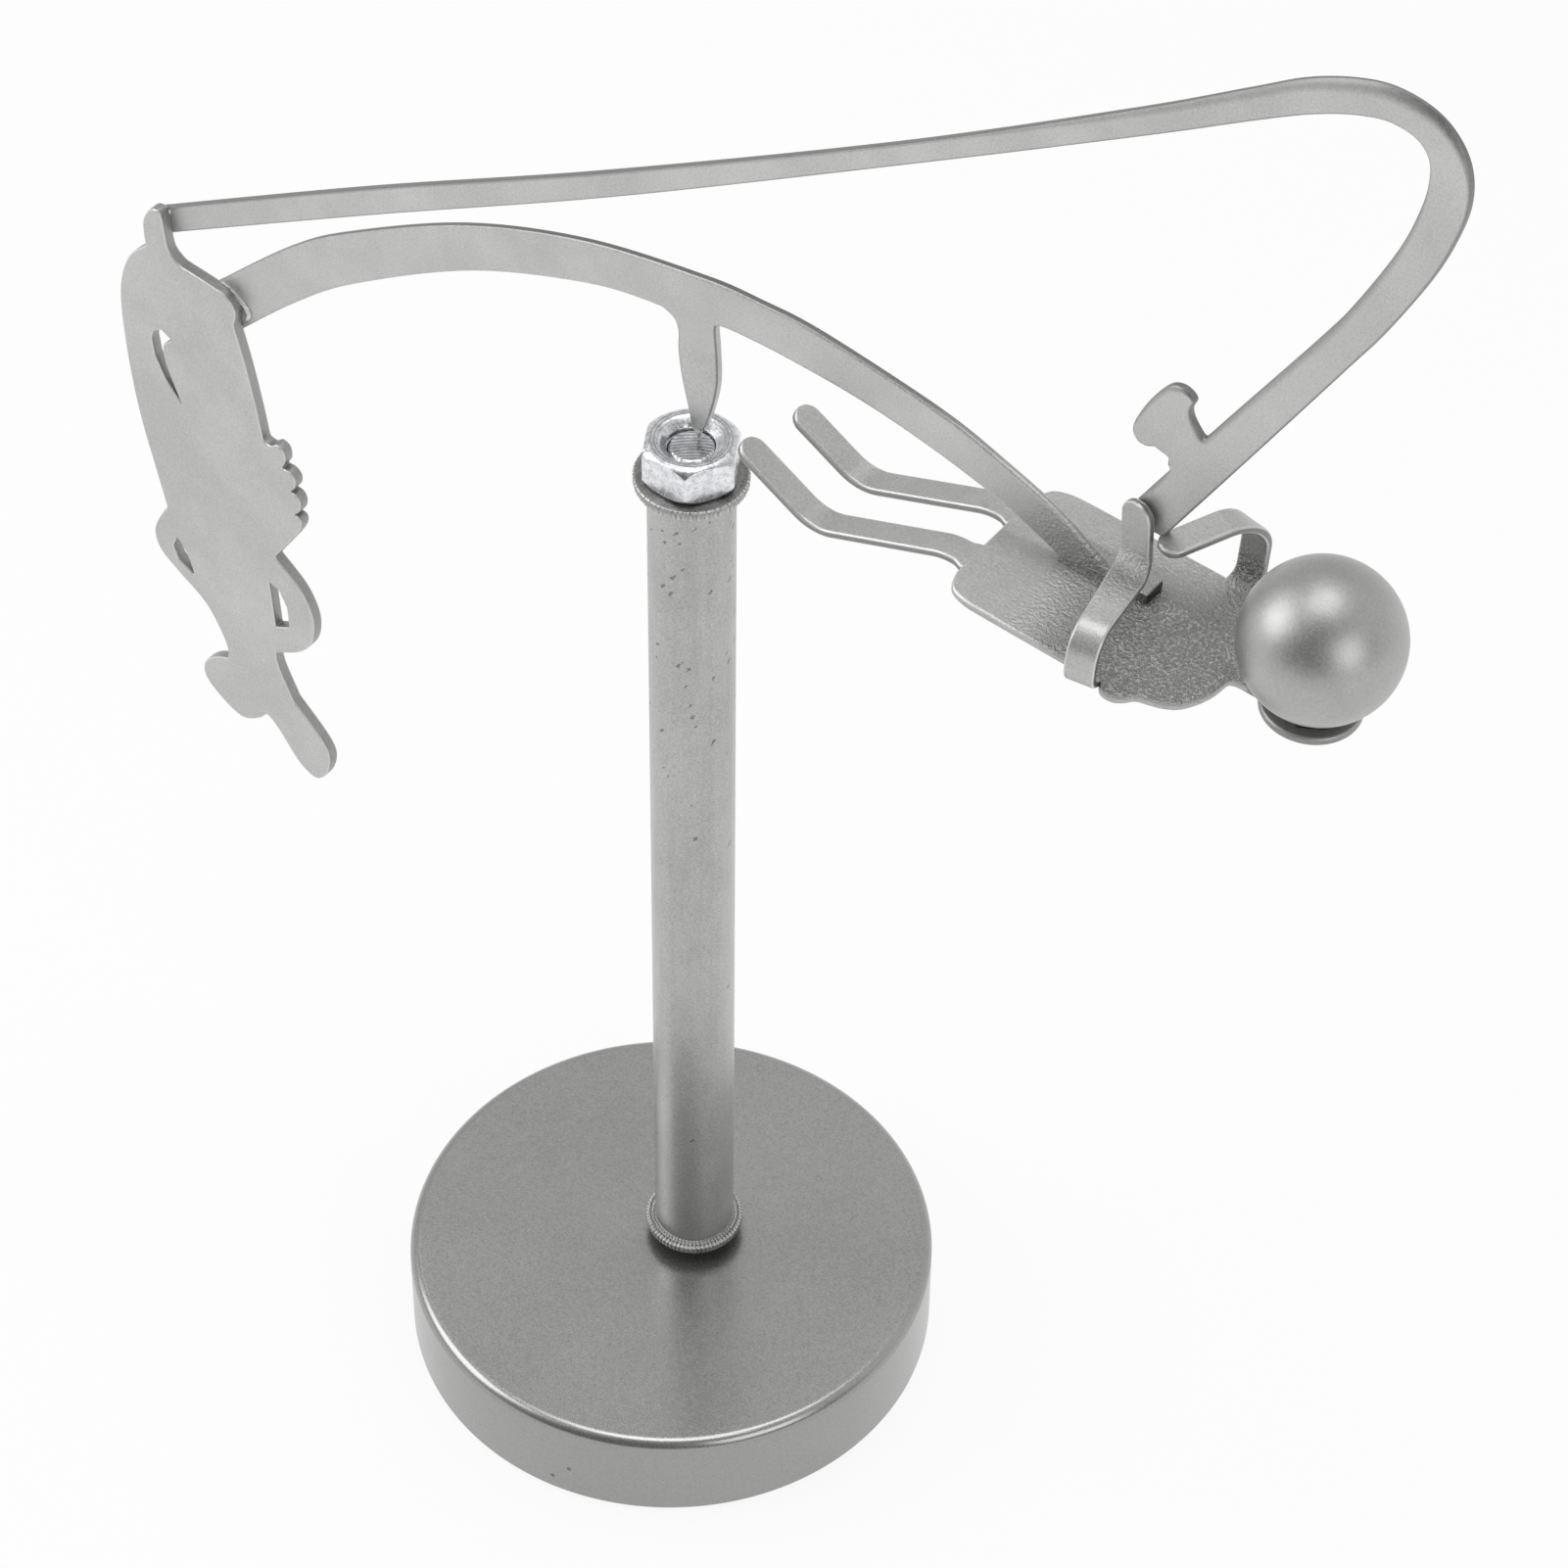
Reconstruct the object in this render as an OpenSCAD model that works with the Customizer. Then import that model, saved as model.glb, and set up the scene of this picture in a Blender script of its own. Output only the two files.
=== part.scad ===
// Counterweight balancing toy: a sheet steel angler leans back from a curved
// beam with a rod, line and fish, and the whole balance stands on one ground
// point in the top nut of a weighted stand.
// Millimetres. Z up, origin under the middle of the base, X along the beam
// towards the angler, Y across it.

/* [Base] */
// Diameter of the base weight
base_d = 85; // [78:1:110]
// Height of the base, pad included
base_h = 17.5; // [16:0.5:30]
// Rounding of the base's top rim
rim_r = 1.8; // [0.8:0.1:3]
// Thickness of the pad under the base
pad_t = 0.8; // [0.5:0.1:1.5]
// Stand-in of the pad from the base's side
pad_inset = 3; // [2:0.5:8]
// Post's place off the base's middle, along X
post_x = 1.9; // [-4:0.1:4]
// Post's place off the base's middle, along Y
post_y = 3.7; // [-4:0.1:4]

/* [Post] */
// Outside diameter of the post tube
tube_d = 12.7; // [12:0.1:15]
// Wall of the post tube
tube_wall = 1.5; // [1:0.1:1.7]
// Length of the post tube
tube_len = 162; // [150:1:220]
// Height of the collar between base and post
collar_h = 2.5; // [1.5:0.1:6]
// Outside diameter of the collar
collar_d = 11; // [10:0.1:15]
// Outside diameter of the washers
washer_d = 16; // [15.5:0.1:18]
// Thickness of the washers
washer_t = 1.6; // [1:0.1:2]
// Width across the flats of the nuts
nut_af = 13; // [12.6:0.1:14]
// Height of the nuts
nut_h = 6.5; // [5:0.1:7.5]
// Diameter of the threaded rod
stud_d = 8; // [7:0.1:8.4]
// Depth of the rod's end below the top of the pivot nut
seat_depth = 1.3; // [0.8:0.1:2]

/* [Balance] */
// Thickness of the steel sheet
sheet = 1.3; // [1:0.1:1.6]
// Thickness of the fish plate
fish_t = 2; // [1.5:0.1:3]
// Point's place off the stud's middle, along Y
seat_y = 1.7; // [0:0.1:1.9]
// Set of the leg: the beam's plane lies this far behind the point
leg_set = 1.05; // [0:0.05:1.4]
// Length of the ground point that turns in the seat
point_len = 2.4; // [2.2:0.1:2.8]
// Half angle of the ground point
point_angle = 22; // [16:1:26]
// Width of the rod at its butt
butt_w = 6; // [5.4:0.1:7]
// Width of the rod round its bend
bow_w = 5.6; // [5:0.1:6.4]
// Width of the line at its narrowest
waist_w = 3; // [2.4:0.1:4]
// Width of the line where it meets the fish
line_w = 4.2; // [3.6:0.1:5]

/* [Angler] */
// Width of the torso
torso_w = 26; // [24:0.2:29]
// Angler's place off the beam, along Y
angler_y = -2; // [-2.6:0.1:-1.4]
// Slope of the torso, head down
torso_pitch = 2.5; // [0:0.5:5]
// Width of the legs
leg_w = 4.4; // [3.6:0.1:5.4]
// Gap between the legs
crotch_w = 6.1; // [4.5:0.1:7]
// Width of the arms
arm_w = 4.2; // [3.4:0.1:4.6]
// Diameter of the ball head
ball_d = 22.5; // [20:0.5:25]
// Wall of the hollow ball head
ball_wall = 1.65; // [0.8:0.05:3]
// Radius of the disc that carries the ball
head_r = 7; // [6:0.1:8]

/* [Fits] */
// Gap between the threaded rod and the nuts
thread_gap = 0.1; // [0.05:0.05:0.2]
// Gap between the threaded rod and the plain holes
hole_gap = 0.25; // [0.15:0.05:0.4]
// Gap between the ground point and the leg above it
point_gap = 0.15; // [0.1:0.05:0.3]
// Gap between the point and the end of the threaded rod
seat_gap = 0.05; // [0.02:0.01:0.1]

/* [Hidden] */
$fn = 96;
eps = 0.01;

// Room under the threaded rod's lower end, its length past the lower nut, and room round the washer
stud_foot_gap = 1;
stud_foot_out = 1.4;
pocket_gap = 3;

// Heights up the stand
stud_foot_z = pad_t + stud_foot_gap;
lower_nut_z = stud_foot_z + stud_foot_out;
lower_washer_z = lower_nut_z + nut_h;
pocket_top_z = lower_washer_z + washer_t;
pocket_d = washer_d + 2 * pocket_gap;
foot_washer_z = base_h + collar_h;
tube_z = foot_washer_z + washer_t;
cap_washer_z = tube_z + tube_len;
pivot_nut_z = cap_washer_z + washer_t;
seat_z = pivot_nut_z + nut_h - seat_depth;
tip_z = seat_z + seat_gap;
stud_hole_d = stud_d + 2 * hole_gap;

// Nut and stud chamfers
nut_chamfer_r = 0.485 * nut_af;
nut_chamfer_angle = 30;
nut_corner_gap = 0.2;
nut_lead = 0.6;
stud_chamfer = 1.2;

// Steps along each stretch of a curve
curve_n = 6;
bend_n = 10;

// Smooth curve through points, one stretch at a time
function spline(a, b, c, d, t) =
    0.5 * (2 * b + (c - a) * t + (2 * a - 5 * b + 4 * c - d) * t * t + (3 * b - a - 3 * c + d) * t * t * t);
function curve(p, n = curve_n) =
    let (last = len(p) - 1)
    concat([for (i = [0 : last - 1], k = [0 : n - 1])
        spline(p[max(i - 1, 0)], p[i], p[i + 1], p[min(i + 2, last)], k / n)], [p[last]]);

// Path whose inner corners are bent to the radii given
function unit(v) = v / norm(v);
function bend(a, b, c, r) =
    let (u = unit(a - b), v = unit(c - b), half = acos(u * v) / 2,
         mid = b + unit(u + v) * r / sin(half), e = unit(b - mid),
         s = sign(u[1] * v[0] - u[0] * v[1]), turn = 90 - half)
    [for (k = [0 : bend_n]) let (g = s * turn * (2 * k / bend_n - 1))
        mid + r * [e[0] * cos(g) - e[1] * sin(g), e[0] * sin(g) + e[1] * cos(g)]];
function bent_path(p, radii) =
    concat([p[0]], [for (i = [1 : len(p) - 2]) each bend(p[i - 1], p[i], p[i + 1], radii[i - 1])],
           [p[len(p) - 1]]);

// Outline of a strip that follows a path, with a half width at each point
function heading(p, i) = unit(p[min(i + 1, len(p) - 1)] - p[max(i - 1, 0)]);
function left_of(v) = [-v[1], v[0]];
function strip(p, half) =
    let (last = len(p) - 1)
    concat([for (i = [0 : last]) p[i] + left_of(heading(p, i)) * half[i]],
           [for (i = [last : -1 : 0]) p[i] - left_of(heading(p, i)) * half[i]]);
function even(p, h) = [for (q = p) h];

// Beam outline in the beam's plane, from the point: X along, Z up
leg_top = 17.7;
beam_top = [[-89.4, -17.5], [-76, -5.2], [-64, 3.8], [-42, 16.7], [-20.5, 25], [0, 29.1], [10, 29.8],
            [20, 29.6], [39, 26.6], [49, 23.6], [60, 19], [69, 12.8]];
beam_right = [[69, 9], [61.4, 12], [52, 15.8], [40, 19.1], [27, 21.5], [14, 22.4], [7.5, 22.4],
              [3.6, 22.2]];
leg_lap = 0.3;
leg_root = [[2.5, 21.4], [2.7, leg_top - leg_lap], [-3.9, leg_top - leg_lap]];
beam_left = [[-3.9, leg_top - leg_lap], [-4.6, 19.4], [-6.6, 20.4]];
beam_tail = [[-6.6, 20.4], [-19.6, 17.7], [-41, 8.8], [-63.6, -5.6], [-76, -16], [-87, -27]];
beam_outline = concat(curve(beam_top), curve(beam_right), leg_root, curve(beam_left), curve(beam_tail));
leg_outline = concat(curve([[2.7, leg_top], [3.1, 12.8], [2.9, 9.5], [2.1, 5.6], [0, 0]]),
                     curve([[0, 0], [-1.6, 5], [-3, 9.9], [-3.8, 14.3], [-3.9, leg_top]]));
leg_lean = atan(leg_set / leg_top);
ground_more = 1;
ground_z = point_len + ground_more;

// Rod and line: middle of the strip and its width, from the fish round the bend to the butt
function between(a, b, share) = a + (b - a) * share;
rod_line = curve([[-101.4, -13, line_w], [-59, 12.3, line_w], [-16, 37.2, between(line_w, waist_w, 0.4)],
                  [32, 66.6, waist_w], [66.6, 88.8, between(waist_w, bow_w, 0.2)],
                  [82.7, 99.6, between(waist_w, bow_w, 0.4)], [90.4, 104.6, between(waist_w, bow_w, 0.6)],
                  [96.8, 107.6, between(waist_w, bow_w, 0.66)],
                  [101.8, 108.7, between(waist_w, bow_w, 0.7)],
                  [106.5, 107.7, between(waist_w, bow_w, 0.75)],
                  [109.4, 104.6, between(waist_w, bow_w, 0.85)], [110.2, 100.2, bow_w], [109.4, 95, bow_w],
                  [107, 87.4, bow_w - 0.2], [102, 76.4, bow_w - 0.4], [97.4, 68, bow_w - 0.5],
                  [84.5, 45.7, between(bow_w, butt_w, 0.2)], [70.6, 21.6, butt_w]]);
rod_path = [for (q = rod_line) [q[0], q[1]]];
rod_half = [for (q = rod_line) q[2] / 2];
reel_outline = concat(curve([[82, 42.6], [80, 44.3], [78.3, 46.4], [78, 48], [78.6, 49.5]]),
                      curve([[78.6, 49.5], [77.7, 50.5], [76.2, 50.9], [74.4, 50], [72, 46.5], [70.2, 42.4],
                             [69.8, 40], [70.8, 38.6], [72.3, 38.6]]),
                      [[73.2, 39.2]], curve([[74.3, 38.8], [75.5, 38.4], [75.6, 36.9], [79, 36]]));

// Fish outline in the same plane
fish_mouth = [[-103.1, -17.3], [-103.2, -13], [-102.2, -10.4], [-100.8, -9], [-99.4, -9.4], [-98.9, -13],
              [-98.3, -16.2], [-96.4, -17.8]];
fish_brow = [[-96.4, -17.8], [-90.4, -18.5], [-87.4, -19.2], [-85.8, -21.4], [-86.4, -24.4]];
fish_back = [[-86.4, -24.4], [-84.7, -31.2], [-83.2, -39], [-82, -45.7]];
fish_dorsal = [[-82, -45.7], [-79.4, -44.8], [-78, -45.8], [-77.9, -48.2]];
dorsal_lobes = [[-77.9, -48.2], [-76.6, -51.8], [-75.9, -55.6]];
fish_rump = [[-75.9, -55.6], [-75.3, -57.6], [-76, -60.2], [-78, -63.8], [-81.8, -69.6]];
fish_vent_fin = [[-81.8, -69.6], [-77.2, -73.6], [-75.1, -77.4], [-74.6, -81], [-75.6, -85], [-78.4, -88.4],
                 [-83.3, -91.4]];
fish_stem = [[-83.3, -91.4], [-83, -94.5], [-80.4, -100.6]];
tail_right = [[-80.4, -100.6], [-75, -106], [-73.4, -109.4], [-74.4, -113.6], [-76.8, -116],
              [-80.2, -114.4], [-84.2, -109.2], [-86.4, -107.2]];
tail_left = [[-86.4, -107.2], [-88.6, -109.6], [-92, -111.3], [-96, -109.6], [-99.2, -106.6],
             [-99.4, -103.4], [-97, -100.6], [-94, -99.1]];
fish_belly = [[-94, -99.1], [-94.2, -95.6], [-97.6, -89.2], [-103, -85.2], [-106.6, -82.2], [-107.5, -78.6],
              [-106.2, -75], [-104.2, -71.6]];
fish_chest = [[-104.2, -71.6], [-105.6, -65.4], [-108.2, -53], [-109.5, -40], [-109.4, -29], [-107, -21.6],
              [-103.1, -17.3]];
lobe_out = 1;
function lobe(a, b) = [a, (a + b) / 2 + lobe_out * unit([a[1] - b[1], b[0] - a[0]]), b];
fish_outline = concat(curve(fish_mouth), curve(fish_brow), curve(fish_back), curve(fish_dorsal),
                      curve(lobe(dorsal_lobes[0], dorsal_lobes[1])),
                      curve(lobe(dorsal_lobes[1], dorsal_lobes[2])), curve(fish_rump),
                      curve(fish_vent_fin), curve(fish_stem), curve(tail_right), curve(tail_left),
                      curve(fish_belly), curve(fish_chest));
gill_slot = concat(curve([[-99.2, -47.4], [-102.2, -41.4], [-103.9, -36.2], [-103.2, -34.4]]),
                   curve([[-101.4, -34], [-100, -34.6], [-101.4, -39.6], [-98.4, -47]]));
belly_slot = concat(curve([[-103.4, -77.6], [-102.4, -81.2], [-100.2, -84.2]]),
                    curve([[-99.8, -83.6], [-100.8, -80.4], [-102.2, -77.4]]));
vent_slot = concat(curve([[-83.2, -76], [-83, -80.6], [-82, -85]]), [[-80.2, -84.2]],
                   curve([[-81, -80], [-82.5, -75.8]]));

// Angler, flat on its own plane from the crotch: X towards the head
angler_x = 50.5;
angler_z = 11.15;
half_w = torso_w / 2;
half_crotch = crotch_w / 2;
leg_edge = half_crotch + leg_w;
neck_half = 2.8;
neck_u = 38;
head_u = 49.8;
head_w = 1.2;
hip_out = 0.4;
torso_side = concat(curve([[0, leg_edge + hip_out], [0.3, leg_edge + 2.2], [1.4, half_w - 1.2],
                           [4, half_w - 0.2], [8, half_w]]),
                    curve([[28, half_w], [32, half_w - 0.5], [35.6, half_w - 1.8], [38.2, 8.2], [39.4, 5],
                           [39.6, neck_half]]));
near_toe = [-38.2, -1.8];
far_toe = [-36.7, -2.6];
function leg_path(toe) = bent_path([[3, 0], [-3.5, 0], [-24.5, -9], toe], [8, 7]);
arm_bend = 3.4;
arm_lap = 4;
shoulder_in = 0.6;
wrist_bend = 2.4;
hand_w = -sheet - angler_y;
near_root = [23.2, shoulder_in - half_w];
near_hand = [21.6, hand_w];
near_reach = norm(near_hand - near_root);
near_turn = atan2(near_hand[1] - near_root[1], near_hand[0] - near_root[0]);
near_out = 2.4;
near_rise = 8.4;
near_top = 20.4;
near_path = bent_path([[arm_lap, 0], [-near_out, 0], [-near_out, near_rise], [near_reach, near_rise],
                       [near_reach, near_top]], [arm_bend, arm_bend, wrist_bend]);
far_root = [31.4, half_w - shoulder_in];
far_hand = [24, hand_w + 1];
far_bend = 4.4;
far_reach = norm(far_hand - far_root);
far_turn = atan2(far_hand[1] - far_root[1], far_hand[0] - far_root[0]);
far_out = 1.4;
far_rise = 13.7;
far_path = bent_path([[arm_lap, 0], [-far_out, 0], [-far_out, far_rise], [far_reach, far_rise]],
                     [arm_bend, far_bend]);
foot_from = 11;
foot_to = 23.4;
foot_w = 4.2;
foot_h = 1.9;
weld_r = 4.6;
weld_core_r = 2;
weld_h = 1;

// Cutters reach this far past what they cut
room = 30;

silver = "Silver";

// Places of the sub-assemblies
module on_post(z) {
    translate([post_x, post_y, z]) children();
}

module on_point() {
    translate([post_x, post_y + seat_y, tip_z]) children();
}

module on_plane() {
    on_point() translate([0, leg_set, 0]) children();
}

module on_angler() {
    translate([angler_x, angler_y, angler_z]) rotate([0, torso_pitch, 0]) children();
}

// Plate cut from sheet, standing in the beam's plane with its far face at y
module plate(outline, thick, y) {
    translate([0, y, 0]) rotate([90, 0, 0]) linear_extrude(thick) polygon(outline);
}

module ring(outer, inner, h) {
    difference() {
        cylinder(h = h, d = outer);
        translate([0, 0, -eps]) cylinder(h = h + 2 * eps, d = inner);
    }
}

// Hexagon nut with its corners turned off at both ends
module hex_nut() {
    corner_r = nut_af / sqrt(3);
    outer_r = corner_r + nut_corner_gap;
    bore_r = stud_d / 2 + thread_gap;
    drop = (outer_r - nut_chamfer_r) * tan(nut_chamfer_angle);
    difference() {
        intersection() {
            cylinder(h = nut_h, r = corner_r, $fn = 6);
            rotate_extrude() polygon([[0, 0], [nut_chamfer_r, 0], [outer_r, drop], [outer_r, nut_h - drop],
                                      [nut_chamfer_r, nut_h], [0, nut_h]]);
        }
        translate([0, 0, -eps]) cylinder(h = nut_h + 2 * eps, r = bore_r);
        translate([0, 0, -eps]) cylinder(h = nut_lead, r1 = bore_r + nut_lead, r2 = bore_r);
        translate([0, 0, nut_h - nut_lead + eps])
            cylinder(h = nut_lead, r1 = bore_r, r2 = bore_r + nut_lead);
    }
}

module base_weight() {
    r = base_d / 2;
    color(silver) difference() {
        rotate_extrude() polygon(concat([[0, pad_t], [r, pad_t]],
            [for (k = [0 : bend_n]) let (g = 90 * k / bend_n)
                [r - rim_r + rim_r * cos(g), base_h - rim_r + rim_r * sin(g)]], [[0, base_h]]));
        on_post(pad_t - eps) cylinder(h = pocket_top_z - pad_t + eps, d = pocket_d);
        on_post(0) cylinder(h = base_h + eps, d = stud_hole_d);
    }
}

module base_pad() {
    color("DimGray") cylinder(h = pad_t, d = base_d - 2 * pad_inset);
}

module lower_washer() {
    color("DarkGray") on_post(lower_washer_z) ring(washer_d, stud_hole_d, washer_t);
}

module lower_nut() {
    color("Gainsboro") on_post(lower_nut_z) hex_nut();
}

// Threaded rod, drawn plain, with both ends chamfered
module threaded_rod() {
    r = stud_d / 2;
    color("Gainsboro") on_post(0) rotate_extrude() polygon([
        [0, stud_foot_z], [r - stud_chamfer, stud_foot_z], [r, stud_foot_z + stud_chamfer],
        [r, seat_z - stud_chamfer], [r - stud_chamfer, seat_z], [0, seat_z]]);
}

module foot_collar() {
    color("DimGray") on_post(base_h) ring(collar_d, stud_hole_d, collar_h);
}

module foot_washer() {
    color("DarkGray") on_post(foot_washer_z) ring(washer_d, stud_hole_d, washer_t);
}

module post_tube() {
    color(silver) on_post(tube_z) ring(tube_d, tube_d - 2 * tube_wall, tube_len);
}

module cap_washer() {
    color("DarkGray") on_post(cap_washer_z) ring(washer_d, stud_hole_d, washer_t);
}

module pivot_nut() {
    color("Gainsboro") on_post(pivot_nut_z) hex_nut();
}

// Ground cone with its tip at the origin
module point_cone(h) {
    cylinder(h = h, r1 = 0, r2 = h * tan(point_angle));
}

// Ground end of the leg: it turns in the seat and the leg rocks on it
module pivot_point() {
    color("Gainsboro") on_point() intersection() {
        point_cone(2 * point_len);
        sphere(point_len);
        rotate([-leg_lean, 0, 0]) translate([-point_len, -sheet / 2, -point_len])
            cube([2 * point_len, sheet, 4 * point_len]);
    }
}

// Curved beam with its leg ground to a point and its foot on the torso
module balance_beam() {
    tip_room = 6;
    color(silver) on_point() difference() {
        union() {
            translate([0, leg_set, 0]) plate(beam_outline, sheet, sheet / 2);
            rotate([-leg_lean, 0, 0]) plate(leg_outline, sheet, sheet / 2);
            translate([0, leg_set, 0]) on_angler() translate([foot_from, -sheet / 2 - angler_y, 0])
                cube([foot_to - foot_from, foot_w, sheet / 2 + foot_h]);
        }
        difference() {
            translate([-tip_room, -tip_room, -tip_room])
                cube([2 * tip_room, 2 * tip_room, tip_room + ground_z]);
            point_cone(ground_z + ground_more);
        }
        sphere(point_len + point_gap);
        translate([0, leg_set, 0]) on_angler() translate([0, -room, sheet / 2 - room])
            cube([2 * room, 2 * room, room]);
    }
}

// Rod, line and reel in one plate, its butt cut to sit on the far hand
module fishing_rod() {
    color(silver) on_plane() difference() {
        union() {
            plate(strip(rod_path, rod_half), sheet, sheet / 2);
            plate(reel_outline, sheet, sheet / 2);
        }
        on_angler() translate([near_hand[0] - room, -room, far_rise + sheet / 2 - room])
            cube([2 * room, 2 * room, room]);
    }
}

// Fish plate lapped on the front of the beam and the line
module fish() {
    color(silver) on_plane() difference() {
        plate(fish_outline, fish_t, -sheet / 2);
        for (slot = [gill_slot, belly_slot, vent_slot])
            plate(slot, fish_t + 2 * eps, eps - sheet / 2);
    }
}

// Strip bent on edge lines across it: its side view is the path, its width runs across
module bent_strip(path, width) {
    translate([0, width / 2, 0]) rotate([90, 0, 0]) linear_extrude(width)
        polygon(strip(path, even(path, sheet / 2)));
}

// Tall block over a strip that runs from a round end at x = end, forwards or backwards
module round_end(end, width, way) {
    from = end + way * width / 2;
    translate([from, 0, -room]) cylinder(h = 2 * room, d = width);
    translate([way > 0 ? from : from - 2 * room, -width / 2, -room]) cube([2 * room, width, 2 * room]);
}

module leg(toe) {
    intersection() {
        bent_strip(leg_path(toe), leg_w);
        round_end(toe[0], leg_w, 1);
    }
}

// Near arm: out from the side, up, in over the torso and up the rod's face, filed flat against it
module near_arm() {
    difference() {
        translate([near_root[0], near_root[1], 0]) rotate([0, 0, near_turn]) intersection() {
            bent_strip(near_path, arm_w);
            union() {
                translate([-room, 0, near_top - arm_w / 2]) rotate([0, 90, 0])
                    cylinder(h = 2 * room, d = arm_w);
                translate([-room, -arm_w / 2, -sheet])
                    cube([2 * room, arm_w, near_top - arm_w / 2 + sheet]);
            }
        }
        translate([near_hand[0] - room / 2, hand_w + sheet / 2, sheet]) cube(room);
    }
}

// Far arm: out from the side, up, and in under the rod's butt
module far_arm() {
    translate([far_root[0], far_root[1], 0]) rotate([0, 0, far_turn]) intersection() {
        bent_strip(far_path, arm_w);
        round_end(far_reach, arm_w, -1);
    }
}

// Angler cut from one blank: torso, head disc, two legs and two arms bent up
module angler() {
    color(silver) on_plane() on_angler() {
        translate([0, 0, -sheet / 2]) linear_extrude(sheet) union() {
            polygon(concat(torso_side, [for (i = [len(torso_side) - 1 : -1 : 0])
                [torso_side[i][0], -torso_side[i][1]]]));
            translate([neck_u, head_w / 2 - neck_half]) square([head_u - neck_u, 2 * neck_half]);
            translate([head_u, head_w]) circle(head_r);
        }
        translate([0, -half_crotch - leg_w / 2, 0]) leg(near_toe);
        translate([0, half_crotch + leg_w / 2, 0]) leg(far_toe);
        near_arm();
        far_arm();
    }
}

// Hollow steel ball head, standing on its disc
module head_ball() {
    color(silver) on_plane() on_angler() translate([head_u, head_w, (sheet + ball_d) / 2]) difference() {
        sphere(d = ball_d);
        sphere(d = ball_d - 2 * ball_wall);
    }
}

// Weld bead that fills the wedge between the ball and its disc
module ball_weld() {
    color(silver) on_plane() on_angler() translate([head_u, head_w, sheet / 2]) difference() {
        cylinder(h = weld_h, r = weld_r);
        translate([0, 0, ball_d / 2]) sphere(d = ball_d);
        translate([0, 0, -eps]) cylinder(h = weld_h + 2 * eps, r = weld_core_r);
    }
}

base_weight();
base_pad();
lower_washer();
lower_nut();
threaded_rod();
foot_collar();
foot_washer();
post_tube();
cap_washer();
pivot_nut();
pivot_point();
balance_beam();
fishing_rod();
fish();
angler();
head_ball();
ball_weld();
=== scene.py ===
import bmesh
import bpy
import numpy as np
from numpy import cos, pi, sin
from mathutils import Matrix, Vector
from mathutils.geometry import delaunay_2d_cdt


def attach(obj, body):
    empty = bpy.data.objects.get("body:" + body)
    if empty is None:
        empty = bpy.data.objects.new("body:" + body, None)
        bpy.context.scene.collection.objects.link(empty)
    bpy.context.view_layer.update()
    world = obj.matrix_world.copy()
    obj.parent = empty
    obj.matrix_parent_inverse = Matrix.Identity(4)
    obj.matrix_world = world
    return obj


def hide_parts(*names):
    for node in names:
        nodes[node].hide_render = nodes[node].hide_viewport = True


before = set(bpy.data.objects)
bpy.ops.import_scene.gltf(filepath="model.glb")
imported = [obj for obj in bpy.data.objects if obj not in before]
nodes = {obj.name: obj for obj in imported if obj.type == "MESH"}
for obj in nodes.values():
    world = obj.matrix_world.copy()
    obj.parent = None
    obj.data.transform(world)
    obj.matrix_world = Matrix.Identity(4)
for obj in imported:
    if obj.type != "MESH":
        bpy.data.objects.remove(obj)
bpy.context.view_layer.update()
scene = bpy.context.scene
mm = 0.001

# where things stand, in mm in the row frame
places = {
    "post": np.array([1.9, 3.7]),
    "tip": np.array([1.9, 5.4, 190.45]),
    "planeY": 6.45,    # middle of the beam's sheet
    "angler": np.array([50.5, -2.0, 11.15]),    # crotch, from the tip in the beam's plane
    "pitch": np.radians(2.5),    # head down
    "sheet": 1.3,
}
halfSheet = places["sheet"] / 2


# arrays spread over each other and stacked
def stacked(*arrays):
    return np.stack(np.broadcast_arrays(*arrays), axis=-1)


# beam's plane: x along, y across, z up from the tip
def onPlane(x, y, z):
    return stacked(places["tip"][0] + x, places["planeY"] + y, places["tip"][2] + z)


# angler's own frame: u to the head, w across, h up off the sheet's middle
def onAngler(u, w, h):
    c, s = cos(places["pitch"]), sin(places["pitch"])
    x0, y0, z0 = places["angler"]
    return onPlane(x0 + u * c + h * s, y0 + w, z0 - u * s + h * c)


# round the post's axis
def onPost(r, turn, z):
    return stacked(places["post"][0] + r * cos(turn), places["post"][1] + r * sin(turn), z)


# each row brought to length one
def unit(rows):
    return rows / np.linalg.norm(rows, axis=1)[:, None]


# even angles once round
def fullTurn(count):
    return np.arange(count) * 2 * pi / count


# how far a rounding of radius r stands out, x in from its end
def roundOff(r, x):
    return np.sqrt(np.clip(r ** 2 - np.clip(r - x, 0, None) ** 2, 0, None))


# rises from 0 to 1 between two limits
def ramp(value, limits):
    return np.interp(value, limits, (0, 1))


# curve through points: each stretch a cubic whose end slopes run between the neighbours
def spline(points, steps=10):
    p = np.asarray(points, float)
    a = np.vstack([p[:1], p, p[-1:]])
    t = (np.arange(steps) / steps)[None, :, None]
    p0, p1, p2, p3 = (a[k:len(a) - 3 + k, None] for k in range(4))
    body = 0.5 * (2 * p1 + (p2 - p0) * t + (2 * p0 - 5 * p1 + 4 * p2 - p3) * t ** 2
                  + (3 * p1 - p0 - 3 * p2 + p3) * t ** 3)
    return np.vstack([body.reshape(-1, p.shape[1]), p[-1:]])


# such curves end to end; a single point stays a corner
def splines(*runs):
    return np.vstack([spline(run) if len(run) > 1 else np.asarray(run, float) for run in runs])


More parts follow.
